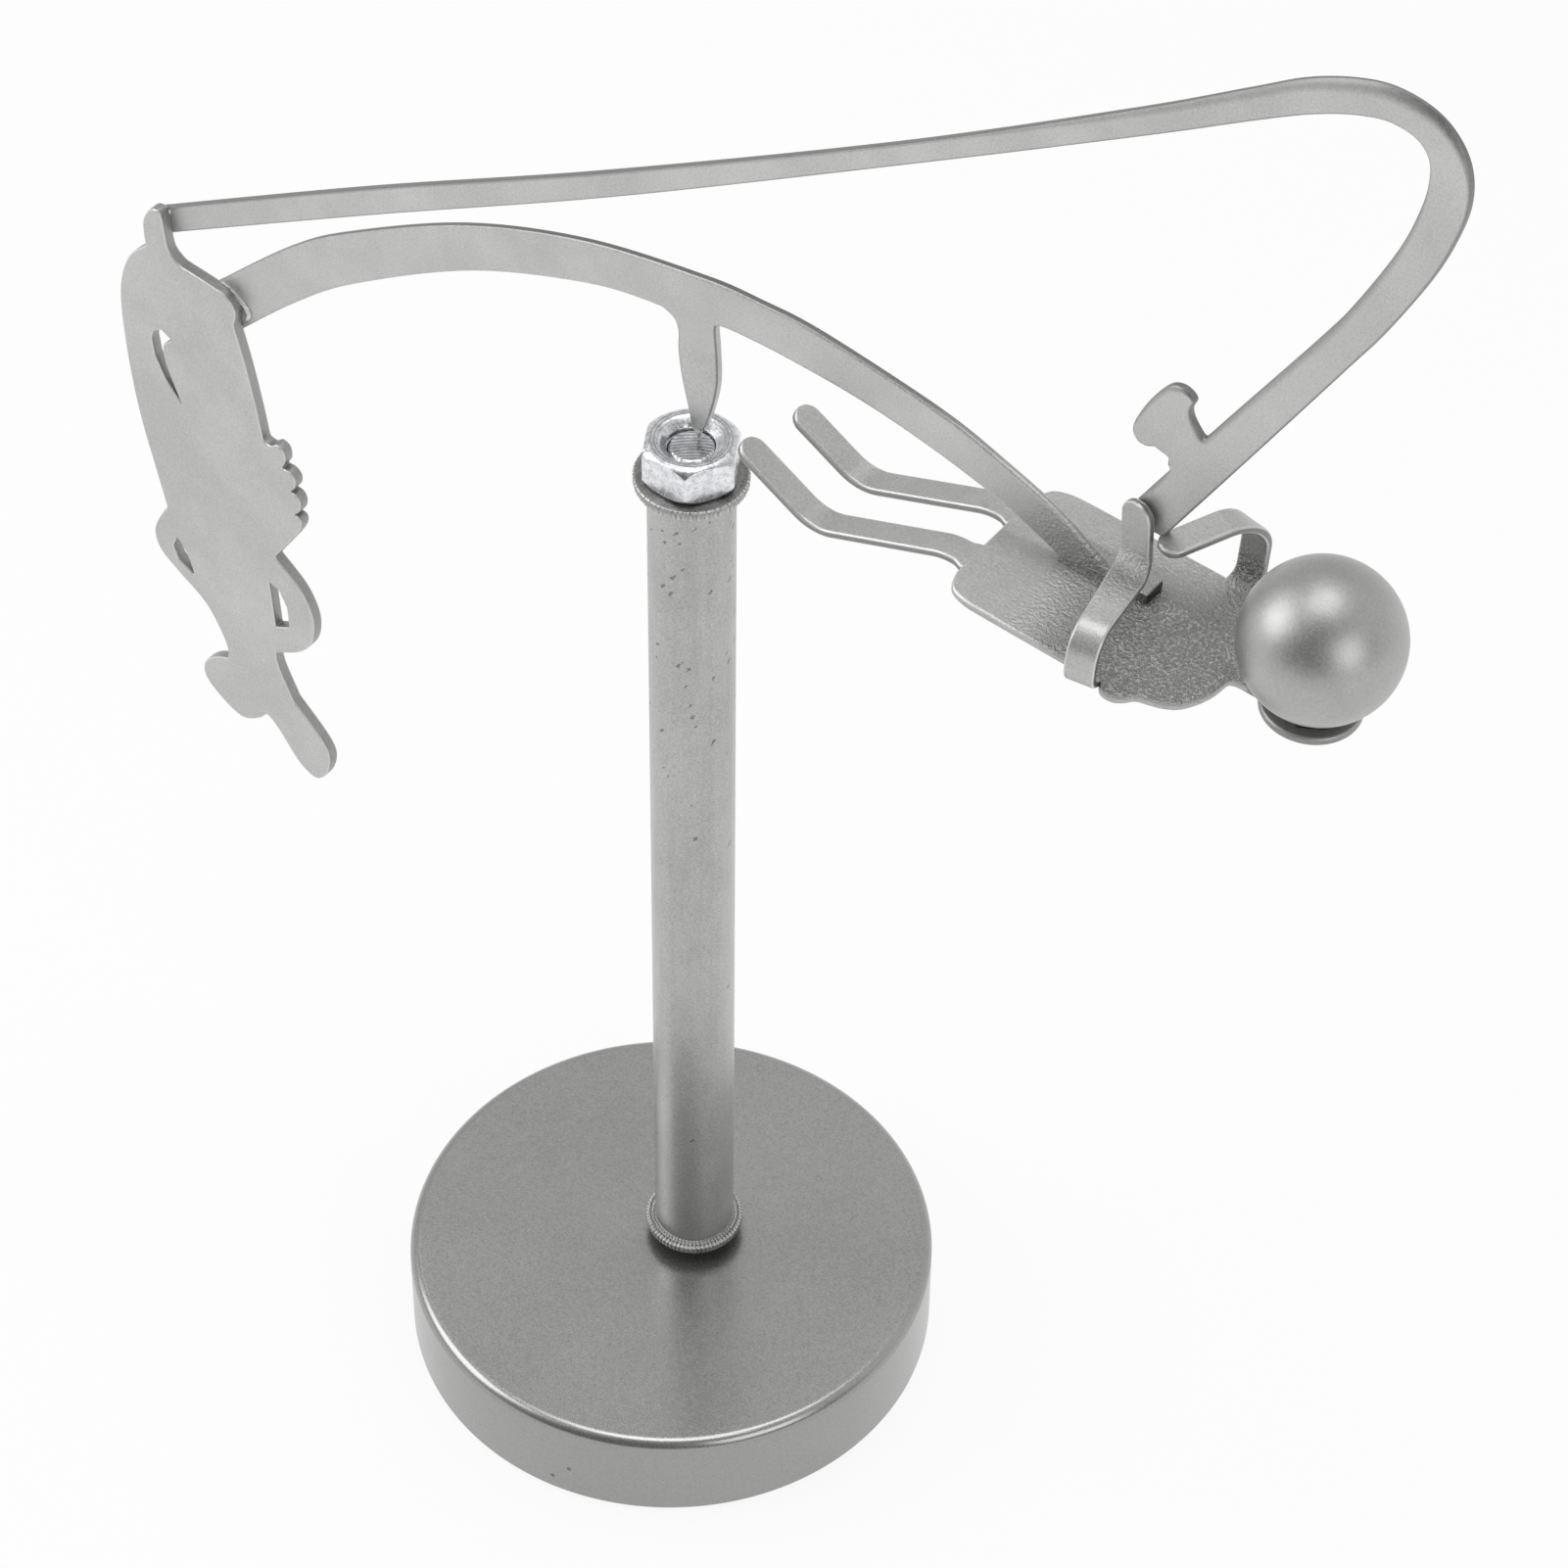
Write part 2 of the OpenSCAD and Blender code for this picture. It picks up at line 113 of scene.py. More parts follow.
# straight runs joined by arcs that touch both of them
def bentPath(points, radii, steps=14):
    p = np.asarray(points, float)
    rows = [p[:1]]
    f = np.linspace(0, 1, steps + 1)[:, None]
    for a, b, c, r in zip(p[:-2], p[1:-1], p[2:], radii):
        u = (a - b) / np.linalg.norm(a - b)
        v = (c - b) / np.linalg.norm(c - b)
        half = np.arccos(u @ v) / 2
        mid = b + (u + v) / np.linalg.norm(u + v) * r / sin(half)
        e0 = (b + u * r / np.tan(half) - mid) / r
        e1 = (b + v * r / np.tan(half) - mid) / r
        g = np.arccos(np.clip(e0 @ e1, -1, 1))
        rows.append(mid + r * (sin((1 - f) * g) * e0 + sin(f * g) * e1) / sin(g))
    return np.vstack(rows + [p[-1:]])


# lengths along an open line, and points on it at given lengths
def lengthsOf(line):
    return np.concatenate([[0], np.cumsum(np.linalg.norm(np.diff(line, axis=0), axis=1))])


def walk(line, at):
    along = lengthsOf(line)
    return np.column_stack([np.interp(at, along, line[:, k]) for k in range(line.shape[1])])


# closed outline walked at an even step, its corners eased by a bell-shaped average along it
def softLoop(points, step=0.35, ease=0.25):
    ring = np.vstack([points, points[:1]])
    total = lengthsOf(ring)[-1]
    count = int(round(total / step))
    loop = walk(ring, np.arange(count) * total / count)
    bell = np.exp(-0.5 * (2 * pi * np.fft.fftfreq(count, total / count) * ease) ** 2)
    return np.fft.ifft(np.fft.fft(loop, axis=0) * bell[:, None], axis=0).real


# anticlockwise for an outline, clockwise for a slot, so the metal always lies to the left
def facing(loop, way):
    nxt = np.roll(loop, -1, axis=0)
    area = np.sum(loop[:, 0] * nxt[:, 1] - nxt[:, 0] * loop[:, 1])
    return loop if area * way > 0 else loop[::-1]


# outline moved to its left by a distance at each point
def intoMetal(loop, d):
    run = unit(np.roll(loop, -1, axis=0) - np.roll(loop, 1, axis=0))
    return loop + d[:, None] * np.column_stack([-run[:, 1], run[:, 0]])


# arris: the radius asked for, or three quarters of the outline's own where it turns tighter
def easeAlong(loop, ease):
    before, after = np.roll(loop, 1, axis=0), np.roll(loop, -1, axis=0)
    run, bow = (after - before) / 2, after - 2 * loop + before
    bend = (run[:, 0] * bow[:, 1] - run[:, 1] * bow[:, 0]) / np.linalg.norm(run, axis=1) ** 3
    most = np.minimum(ease, 0.75 / np.maximum(bend, 1e-3))
    most = np.min([np.roll(most, k) for k in range(-5, 6)], axis=0)
    return np.mean([np.roll(most, k) for k in range(-4, 5)], axis=0)


# even-odd test of many points against many edges
def inside(points, a, b):
    px, py = points[:, :1], points[:, 1:]
    crosses = (a[:, 1] > py) != (b[:, 1] > py)
    rise = np.where(a[:, 1] == b[:, 1], 1.0, b[:, 1] - a[:, 1])
    return (crosses & (px < a[:, 0] + (py - a[:, 1]) * (b[:, 0] - a[:, 0]) / rise)).sum(1) % 2 == 1


# outline of a strip with a tab: the tab's outline takes over where it leaves the strip
def withTab(loop, tab):
    tab = tab[~inside(tab, loop, np.roll(loop, -1, axis=0))]
    ends = [np.argmin(np.linalg.norm(loop - tab[k], axis=1)) for k in (0, -1)]
    low, high = min(ends), max(ends)
    tab = tab if ends[0] < ends[1] else tab[::-1]
    return np.vstack([loop[:low], tab, loop[high + 1:]])


# quads of a grid of points, each row closed, and the rows too in a ring
def gridFaces(rows, cols, ring=False):
    r = np.arange(rows if ring else rows - 1)[:, None]
    c = np.arange(cols)[None, :]
    r1, c1 = (r + 1) % rows, (c + 1) % cols
    quads = stacked(r * cols + c, r * cols + c1, r1 * cols + c1, r1 * cols + c)
    return quads.reshape(-1, 4).tolist()


# points and faces of such a grid, with a face over its first and last row if it has ends
def gridSkin(points, ring=False, ends=False):
    rows, cols = points.shape[:2]
    caps = [list(range(cols)), list(range((rows - 1) * cols, rows * cols))] if ends else []
    return points.reshape(-1, 3), gridFaces(rows, cols, ring) + caps


# flat cap inside an outline and outside its slots, with spare points on an even lattice
def capOver(loops, lattice):
    rim = np.vstack(loops)
    after = np.vstack([np.roll(loop, -1, axis=0) for loop in loops])
    first = np.cumsum([0] + [len(loop) for loop in loops])
    ringEdges = [(first[k] + i, first[k] + (i + 1) % len(loop))
                 for k, loop in enumerate(loops) for i in range(len(loop))]
    low, high = rim.min(0), rim.max(0)
    gx, gy = np.meshgrid(np.arange(low[0], high[0], lattice), np.arange(low[1], high[1], lattice))
    spare = np.column_stack([gx.ravel(), gy.ravel()])
    spare = spare[inside(spare, rim, after)]
    gap = np.sqrt(((spare[:, None] - rim[None, ::2]) ** 2).sum(-1)).min(1)
    points = np.vstack([rim, spare[gap > 0.5 * lattice]])
    made = delaunay_2d_cdt([Vector(p) for p in points.tolist()], ringEdges, [], 1, 1e-7)
    source = np.array([o[0] for o in made[3]])
    tris = source[np.array(made[2])]
    return points[len(rim):], tris[inside(points[tris].mean(1), rim, after)]


# edge of a plate: small radius, the wide arc before it and the angle where that stops, the back's share of
# it, painted highlight on the arris, painted shade on the wall, and the power by which the painted shade
# fades
plainEdge = dict(ease=0.3, roll=0.0, rollTo=5, back=1.0, worn=1.0, wall=1.0, fade=4)


# plate: an edge profile carried along each outline, closed by two flat caps; the profile is a wide arc up
# to an angle, then a small radius into the cut wall
def plateSkin(loops, low, high, edge, lattice=1.5):
    edge = {**plainEdge, **edge}
    stop = np.radians(edge["rollTo"])
    bend = np.concatenate([np.linspace(0, stop, 8)[:-1], np.linspace(stop, pi / 2, 6)])
    bend = np.concatenate([bend, bend[::-1]])[:, None]
    rolled = np.minimum(bend, stop)
    lower = (np.arange(len(bend)) < len(bend) // 2)[:, None]
    flat, tall, worn, wall, faces, start, rims, rim = [], [], [], [], [], 0, [], []
    for loop in loops:
        count = len(loop)
        ease, roll, worth, dusk = (np.broadcast_to(edge[key], count)
                                   for key in ("ease", "roll", "worn", "wall"))
        roll = roll * np.where(lower, 1, edge["back"])
        inset = ease * (1 - sin(bend)) + roll * (sin(stop) - sin(rolled))
        sink = ease * (1 - cos(bend)) + roll * (1 - cos(rolled))
        share = easeAlong(loop, inset[0]) / inset[0]
        rings = np.stack([intoMetal(loop, d) for d in inset * share])
        rim.append(rings[0])
        flat.append(rings.reshape(-1, 2))
        tall.append(np.where(lower, low + sink * share, high - sink * share).ravel())
        # painted highlight on the arris, brightest half way round the rounding
        worn.append((worth * sin(2 * bend)).ravel())
        # painted shade on the cut wall, growing over the rounding
        wall.append((dusk * sin(bend) ** edge["fade"]).ravel())
        faces += (np.array(gridFaces(len(bend), count)) + start).tolist()
        rims.append((start + np.arange(count), start + (len(bend) - 1) * count + np.arange(count)))
        start += len(bend) * count
    spare, tris = capOver(rim, lattice)
    for side, height in ((0, low), (1, high)):
        index = np.concatenate([r[side] for r in rims] + [start + np.arange(len(spare))])
        faces += index[tris].tolist()
        flat.append(spare)
        tall.append(np.full(len(spare), height))
        start += len(spare)
    onCaps = [np.zeros(2 * len(spare))]
    marks = dict(worn=np.concatenate(worn + onCaps), wall=np.concatenate(wall + onCaps))
    return np.vstack(flat), np.concatenate(tall), faces, marks


# bent strap: a rounded oblong carried along a path, its half width and half thickness given at each point
def strapSkin(path, across, half, thick, ease):
    tangent = unit(np.gradient(path, axis=0))
    across = unit(across - tangent * np.sum(across * tangent, axis=1)[:, None])
    normal = np.cross(tangent, across)
    turn = np.radians(np.concatenate([[0], np.linspace(0, 90, 6), [90]]))
    turn = (np.radians([0, 90, 180, 270])[:, None] + turn).ravel()
    lead = np.tile([-0.35, 0, 0, 0, 0, 0, 0, 0.35], 4)     # points just past each corner keep the flats flat
    sideX, sideY = np.repeat([1, -1, -1, 1], 8), np.repeat([1, 1, -1, -1], 8)
    half, thick = half[:, None], thick[:, None]
    r = np.minimum(ease, np.minimum(half, thick))
    x = sideX * (half - r) + r * (cos(turn) - lead * sin(turn))
    y = sideY * (thick - r) + r * (sin(turn) + lead * cos(turn))
    x, y = np.clip(x, -half, half)[..., None], np.clip(y, -thick, thick)[..., None]
    points, faces = gridSkin(path[:, None] + across[:, None] * x + normal[:, None] * y, ends=True)
    # painted highlight on the strap's rounded corners, painted shade on its flat sides
    worn, wall = np.abs(sin(2 * turn)), cos(turn) ** 4
    return points, faces, {"worn": np.tile(worn, len(path)), "wall": np.tile(wall, len(path))}


# lumpy bead: a round section carried along a path, its radius stirred by slow waves
def beadSkin(path, radius, lumps, seed, turns=18):
    along = lengthsOf(path)
    share = along / along[-1]
    pace = np.array([1.82, 2.94, 4.76, 6.58, 8.82])[:, None, None]     # radians per mm
    phase = np.random.default_rng(seed).uniform(0, 2 * pi, (len(pace), 1, 1))
    g = fullTurn(turns)
    swing = g * np.arange(len(pace))[:, None, None] % (2 * pi)
    wave = sin(pace * along[None, :, None] + phase + swing)
    taper = np.sqrt(np.clip(1 - (2 * share - 1) ** 6, 0, 1))
    r = radius * (taper[:, None] * (1 + lumps * wave.mean(0)))
    tangent = unit(np.gradient(path, axis=0))
    guide = np.where(np.abs(tangent[:, 1:2]) < 0.8, [[0.0, 1.0, 0.0]], [[1.0, 0.0, 0.0]])
    e1 = unit(np.cross(tangent, guide))
    e2 = np.cross(tangent, e1)
    spokes = cos(g)[:, None] * e1[:, None] + sin(g)[:, None] * e2[:, None]
    return gridSkin(path[:, None] + r[..., None] * spokes, ends=True)


# object of a mesh, camera or lamp, put in the scene
def addObject(name, data):
    made = bpy.data.objects.new(name, data)
    scene.collection.objects.link(made)
    return made


# what the paint reads off each point: painted highlight on the eased arris, painted shade on the cut wall,
# weld grit with painted shade, bare steel, and painted shade
pointMarks = ("worn", "wall", "grit", "bare", "burnt")


# one mesh from closed shells, each of points, faces and marks; a plate's triangles are its flat caps
def addPiece(name, shells, material, body, node=None, caps=False):
    points = np.vstack([s[0] for s in shells]) * mm
    offsets = np.cumsum([0] + [len(s[0]) for s in shells])
    faces = [[i + o for i in f] for s, o in zip(shells, offsets) for f in s[1]]
    mesh = bpy.data.meshes.new(name)
    mesh.from_pydata(points.tolist(), [], faces)
    flat = np.array([caps and len(f) == 3 for f in faces])
    mesh.attributes.new("cap", "BOOLEAN", "FACE").data.foreach_set("value", flat)
    for mark in pointMarks:
        values = np.concatenate([np.broadcast_to(s[2].get(mark, 0.0), len(s[0])) for s in shells])
        mesh.attributes.new(mark, "FLOAT", "POINT").data.foreach_set("value", values.astype(np.float32))
    work = bmesh.new()
    work.from_mesh(mesh)
    bmesh.ops.remove_doubles(work, verts=work.verts, dist=1e-7)
    bmesh.ops.recalc_face_normals(work, faces=work.faces)
    work.to_mesh(mesh)
    work.free()
    flat = np.zeros(len(mesh.polygons), bool)
    mesh.attributes["cap"].data.foreach_get("value", flat)
    mesh.attributes.remove(mesh.attributes["cap"])
    mesh.polygons.foreach_set("use_smooth", ~flat)
    mesh.materials.append(material)
    piece = addObject(name, mesh)
    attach(piece, body)
    if node:
        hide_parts(node)
    print("piece", name, len(mesh.polygons), "faces")


# colours are written as they look on screen
def hexColour(code):
    srgb = np.array([int(code[k:k + 2], 16) for k in (1, 3, 5)]) / 255
    linear = np.where(srgb <= 0.04045, srgb / 12.92, ((srgb + 0.055) / 1.055) ** 2.4)
    return (*linear.tolist(), 1.0)


# one node: its settings, and a value or another node's socket for each input
def addNode(tree, kind, feeds, **settings):
    node = tree.nodes.new("ShaderNode" + kind)
    for key, value in settings.items():
        setattr(node, key, value)
    for socket, value in feeds.items():
        if isinstance(value, bpy.types.NodeSocket):
            tree.links.new(value, node.inputs[socket])
        else:
            node.inputs[socket].default_value = value
    return node.outputs


# empty node tree of a material or the world
def freshTree(owner):
    owner.use_nodes = True
    owner.node_tree.nodes.clear()
    return owner.node_tree


# colour laid over colour: each layer shows where its source lies between two values, by an amount; the colour
# is a setting's name, and the amount may be one
def layered(tree, look, tone, layers):
    for source, low, high, amount, colour in layers:
        shown = addNode(tree, "MapRange", {"Value": source, "From Min": low, "From Max": high})["Result"]
        shown = addNode(tree, "Math", {0: shown, 1: look.get(amount, amount)}, operation="MULTIPLY")[0]
        tone = addNode(tree, "Mix", {0: shown, 6: tone, 7: hexColour(look[colour])}, data_type="RGBA")[2]
    return tone


# end of both finishes: roughness follows a pattern and falls where marked, then bump, shader, output
def finishMetal(tree, look, tone, pattern, slickMarks, height):
    low, high = look["rough"]
    rough = addNode(tree, "MapRange", {
        "Value": pattern, "From Min": 0.3, "From Max": 0.7, "To Min": low, "To Max": high})["Result"]
    for mark in slickMarks:
        rough = addNode(tree, "Math", {0: mark, 1: -look["slick"], 2: rough}, operation="MULTIPLY_ADD")[0]
    bump = addNode(tree, "Bump", {"Height": height, "Distance": mm})[0]
    shader = addNode(tree, "BsdfPrincipled", {
        "Base Color": tone, "Roughness": rough, "Normal": bump, "Metallic": look["metallic"],
        "Coat Weight": look["coat"], "Coat Roughness": look["coatRough"]})[0]
    addNode(tree, "OutputMaterial", {"Surface": shader})


# shared by every lacquer: pattern sizes in mm and their squeeze along Z, colours, how strongly each layer
# shows, heights in mm; the grain is coarser than real flake so that it shows
lacquer = dict(
    patterns=dict(cloud=(14, 1), grain=(0.34, 1), lump=(0.52, 1), streak=(1.2, 0.08)), dark="#BFBFBE",
    light="#CBCBCA", fleckAndGlint="#E6E6E4", shade="#959594", wall="#5C5C5B", arris="#F0F0EE", bareDark="#9A9996",
    bareLight="#DAD9D6", burnt="#34322F", speck="#4C4C4C", grainTone=0.4, reflectionStreakTone=0.0, wallShadeTone=0.75,
    highlightTone=0.6, gritShadeTone=0.55, lumpGlintTone=0.6, speckTone=0.8, rough=(0.36, 0.48), slick=0.14,
    grainHigh=0.025, lumpHigh=0.7, metallic=0.75, coat=0.1, coatRough=0.3, specks=(), pits=None)


# silver lacquer: cloudy tone and fine grain, painted shade on cut walls, painted highlight on arrises, lumpy
# over weld grit with painted shade and painted glints, bare scratched steel, or painted shade where marked
def silverLacquer(look):
    look = {**lacquer, **look}
    material = bpy.data.materials.new(look["name"])
    tree = freshTree(material)
    place = addNode(tree, "TexCoord", {})["Object"]
    marks = {mark: addNode(tree, "Attribute", {}, attribute_name=mark)["Fac"] for mark in pointMarks}
    noise = {}
    for key, (sizeMm, stretch) in look["patterns"].items():
        at = addNode(tree, "Mapping", {"Vector": place, "Scale": (1, 1, stretch)})[0]
        noise[key] = addNode(tree, "TexNoise", {
            "Vector": at, "Scale": 1 / (sizeMm * mm), "Detail": 3.0, "Roughness": 0.6})["Fac"]
    cloud, grain, lump, streak = (noise[key] for key in ("cloud", "grain", "lump", "streak"))
    lumps = addNode(tree, "Math", {0: lump, 1: marks["grit"]}, operation="MULTIPLY")[0]
    tone = layered(tree, look, hexColour(look["dark"]), [
        (cloud, 0.35, 0.65, 1.0, "light"),
        (grain, 0.52, 0.72, "grainTone", "fleckAndGlint"),
        (grain, 0.48, 0.3, "grainTone", "shade"),
        # painted reflection: lengthwise streaks of shade where set
        (streak, 0.5, 0.75, "reflectionStreakTone", "shade"),
        # painted shade on the cut walls
        (marks["wall"], 0, 1, "wallShadeTone", "wall"),
        # painted highlight on the arrises
        (marks["worn"], 0.2, 1, "highlightTone", "arris"),
        # weld grit, with painted shade over it
        (marks["grit"], 0, 1, "gritShadeTone", "wall"),
        # painted glints on the tops of the grit's lumps
        (lumps, 0.5, 0.64, "lumpGlintTone", "fleckAndGlint"),
        (marks["bare"], 0, 1, 1.0, "bareDark"),
        (streak, 0.35, 0.65, marks["bare"], "bareLight"),
        # painted shade where marked
        (marks["burnt"], 0, 1, 1.0, "burnt")])
    height = addNode(tree, "Math", {0: grain, 1: look["grainHigh"]}, operation="MULTIPLY")[0]
    height = addNode(tree, "Math", {0: lumps, 1: look["lumpHigh"], 2: height}, operation="MULTIPLY_ADD")[0]
    for *spot, size in look["specks"]:
        spot = [mm * k for k in spot]
        gap = addNode(tree, "VectorMath", {0: place, 1: spot}, operation="DISTANCE")["Value"]
        tone = layered(tree, look, tone, [(gap, size * mm, 0.5 * size * mm, "speckTone", "speck")])
    if look["pits"]:
        tone, height = pitted(tree, place, lump, tone, height, look["pits"])
    finishMetal(tree, look, tone, grain, (marks["grit"], marks["bare"]), height)
    return material


# rust pits, on the tube as if unrolled: some cells of a slanted, drawn out pattern hold one, more of them
# high up, each with a ragged edge
def pitted(tree, place, ragged, tone, height, pits):
    spot = addNode(tree, "SeparateXYZ", {"Vector": place})
    fromAxis = [addNode(tree, "Math", {0: spot[k], 1: places["post"][k] * mm}, operation="SUBTRACT")[0]
                for k in (0, 1)]
    turn = addNode(tree, "Math", {0: fromAxis[1], 1: fromAxis[0]}, operation="ARCTAN2")[0]
    along = addNode(tree, "Math", {0: turn, 1: pits["tubeR"] * mm}, operation="MULTIPLY")[0]
    unrolled = addNode(tree, "CombineXYZ", {"X": along, "Y": spot["Z"]})[0]
    slant = addNode(tree, "Mapping", {"Vector": unrolled, "Rotation": (0, 0, pits["slant"]),
                                      "Scale": (1, pits["long"], 1)}, vector_type="TEXTURE")[0]
    cell = addNode(tree, "TexVoronoi", {"Vector": slant, "Scale": 1 / (pits["apartMm"] * mm)},
                   voronoi_dimensions="2D")
    pick = addNode(tree, "SeparateColor", {"Color": cell["Color"]})
    low, high = (z * mm for z in pits["fade"])
    few, many = pits["share"]
    share = addNode(tree, "MapRange", {
        "Value": spot["Z"], "From Min": low, "From Max": high, "To Min": few, "To Max": many})["Result"]
    there = addNode(tree, "Math", {0: pick["Red"], 1: share}, operation="LESS_THAN")[0]
    least, most = (size / pits["apartMm"] + 0.5 * pits["ragged"] for size in pits["sizeMm"])
    size = addNode(tree, "MapRange", {"Value": pick["Green"], "To Min": least, "To Max": most})["Result"]
    edge = addNode(tree, "Math", {0: ragged, 1: pits["ragged"], 2: cell["Distance"]},
                   operation="MULTIPLY_ADD")[0]
    hole = addNode(tree, "Math", {0: edge, 1: size}, operation="LESS_THAN")[0]
    hole = addNode(tree, "Math", {0: hole, 1: there}, operation="MULTIPLY")[0]
    tone = layered(tree, pits, tone, [(hole, 0, 1, "tone", "colour")])
    height = addNode(tree, "Math", {0: hole, 1: -pits["deepMm"], 2: height}, operation="MULTIPLY_ADD")[0]
    return tone, height


# shared by every steel: tool mark spacing and centre off the post, clouds and grain, in mm
steel = dict(
    arris="#FFFFFF", highlightTone=0.9, markMm=0.5, markAt=(0, 0), markTone=0.2, markHigh=0.01, cloudMm=1.5,
    grainMm=0.3, grainTone=0.2, grainHigh=0.01, rough=(0.25, 0.4), metallic=1.0, coat=0.0, coatRough=0.3)


# bare or plated steel: tool marks run round the post's axis, tone and gloss drift in small clouds, and a
# painted highlight lies where marked
def turnedSteel(look):
    look = {**steel, **look}
    material = bpy.data.materials.new(look["name"])
    tree = freshTree(material)
    place = addNode(tree, "TexCoord", {})["Object"]
    worn, bare = (addNode(tree, "Attribute", {}, attribute_name=mark)["Fac"] for mark in ("worn", "bare"))
    centre = [*(-(places["post"] + look["markAt"]) * mm), 0]
    centred = addNode(tree, "Mapping", {"Vector": place, "Location": centre})[0]
    rings = addNode(tree, "TexWave", {
        "Vector": centred, "Scale": pi / 10 / (look["markMm"] * mm), "Distortion": 2.5, "Detail": 2.0,
        "Detail Scale": 2.0}, wave_type="RINGS", rings_direction="Z")["Fac"]
    rings = addNode(tree, "Math", {0: rings, 1: bare}, operation="MULTIPLY")[0]
    cloud, grain = (
        addNode(tree, "TexNoise", {"Vector": place, "Scale": 1 / (look[key] * mm), "Detail": detail})["Fac"]
        for key, detail in (("cloudMm", 5.0), ("grainMm", 2.0)))
    tone = layered(tree, look, hexColour(look["dark"]), [
        (cloud, 0.35, 0.65, 1.0, "light"),
        (rings, 0.35, 0.9, "markTone", "mark"),
        (grain, 0.5, 0.3, "grainTone", "mark"),
        # painted highlight where marked
        (worn, 0, 1, "highlightTone", "arris")])
    height = addNode(tree, "Math", {0: grain, 1: look["grainHigh"]}, operation="MULTIPLY")[0]
    height = addNode(tree, "Math", {0: rings, 1: look["markHigh"], 2: height}, operation="MULTIPLY_ADD")[0]
    finishMetal(tree, look, tone, cloud, (), height)
    return material


# sheet lacquer: even light grey, gritty near the welds, painted shade on grit and walls, painted arris
# highlight
sheetLacquer = silverLacquer({"name": "satin silver lacquer on laser-cut sheet"})

# angler lacquer: the same lacquer a shade deeper, painted shade on the angler's pieces
anglerShadeLacquer = silverLacquer(dict(
    name="satin silver lacquer deepened by painted shade", dark="#B9B9B8", light="#C5C5C4", wall="#757574"))

# ball lacquer: darker and even, so the lamps show as soft spots
ballLacquer = silverLacquer(dict(
    name="satin silver lacquer on a steel ball", dark="#ABABAA", light="#B5B5B4", fleckAndGlint="#CECECC",
    shade="#929291", grainTone=0.35, rough=(0.38, 0.46), metallic=0.95))

# post lacquer: faint lengthwise streaks of painted reflection, and rust pits that the paint hasn't filled
postLacquer = silverLacquer(dict(
    name="silver lacquer on drawn tube", dark="#B0B0AF", light="#BCBCBB", fleckAndGlint="#D4D4D2", shade="#8C8C8B",
    wall="#8A8A89", grainTone=0.55, reflectionStreakTone=0.18, rough=(0.3, 0.42),
    patterns=dict(lacquer["patterns"], cloud=(6, 0.4), streak=(1.6, 0.03)),
    pits=dict(apartMm=1.5, sizeMm=(0.096, 0.24), deepMm=0.12, slant=-0.6, long=2.4, tubeR=6.35, fade=(110,
        165), share=(0.02, 0.3), ragged=0.55, tone=0.75, colour="#6A6A69")))

# base lacquer: mid grey and smoother, so the post shows in it as a dark breath, with two dark specks
baseLacquer = silverLacquer(dict(
    name="satin silver lacquer on a turned weight", dark="#B2B2B1", light="#B8B8B7", fleckAndGlint="#C8C8C6",
    shade="#949493", wall="#757574", grainTone=0.5, grainHigh=0.003, rough=(0.22, 0.29), metallic=0.88,
    coat=0.15, patterns=dict(lacquer["patterns"], cloud=(24, 1)),
    specks=((8.1, -41.7, 3.9, 0.5), (11.0, -41.05, 7.2, 0.5))))

# zinc plate: bright, slightly blue, mottled like frost, fine tool rings
zincPlate = turnedSteel(dict(
    name="bright zinc plate on a pressed nut", dark="#D2D5D9", light="#F6F7F8", mark="#969A9F",
    markTone=0.6, markHigh=0.012, cloudMm=1.1, grainMm=0.45, grainTone=0.45, grainHigh=0.03,
    rough=(0.2, 0.36)))

# stud end: sawn off, so arcs of the blade cross it, wider apart than real ones so that they show
facedSteel = turnedSteel(dict(
    name="sawn end of a zinc steel stud", dark="#CACDD0", light="#ECEDEF", mark="#7C7F83", markMm=0.6,
    markAt=(5.5, -7.0), markTone=0.7, markHigh=0.03, grainMm=0.25, grainHigh=0.02, rough=(0.24, 0.38)))

# washers: dull rolled steel, with a painted highlight round the rim
rolledSteel = turnedSteel(dict(
    name="dull rolled steel washer", dark="#8E8D8B", light="#AAA9A7", mark="#4C4B49", arris="#E8E8E6",
    markMm=0.6, markTone=0.15, markHigh=0.006, cloudMm=2.5, grainMm=0.4, grainTone=0.6, grainHigh=0.06,
    rough=(0.34, 0.5)))

# ground point: bare steel off the wheel, fine bright scratches
groundSteel = turnedSteel(dict(
    name="bare steel ground to a point", dark="#A4A3A0", light="#CBCAC7", mark="#7A7977", markMm=0.2,
    cloudMm=1.2, grainMm=0.15))

# collar: steel coloured nearly black and dull, painted shade for the gap under the washer
gapShadeSteel = turnedSteel(dict(
    name="collar steel darkened as painted shade", dark="#242423", light="#383633", mark="#161616", arris="#5A5A58",
    markHigh=0.004, cloudMm=3, grainTone=0.3, rough=(0.5, 0.65), metallic=0.9))

# pad: matt moulded rubber, no gloss
padRubber = turnedSteel(dict(
    name="matt black rubber pad", dark="#1A1A1A", light="#262626", mark="#101010", arris="#3A3A3A",
    markMm=0.8, markHigh=0.004, cloudMm=5, grainMm=0.4, grainTone=0.3, grainHigh=0.02, rough=(0.75, 0.9),
    metallic=0.0))

for nodeName, material in (("base_pad", padRubber), ("lower_washer", rolledSteel), ("lower_nut", zincPlate),
                           ("foot_collar", gapShadeSteel), ("pivot_point", groundSteel)):
    nodes[nodeName].data.materials.clear()
    nodes[nodeName].data.materials.append(material)
print("materials made")


# quarter round from one direction to the next, for turned profiles
def rounded(centreR, centreZ, r, start, stop, steps):
    g = np.radians(np.linspace(start, stop, steps + 1))
    return np.column_stack([centreR + r * cos(g), centreZ + r * sin(g)])


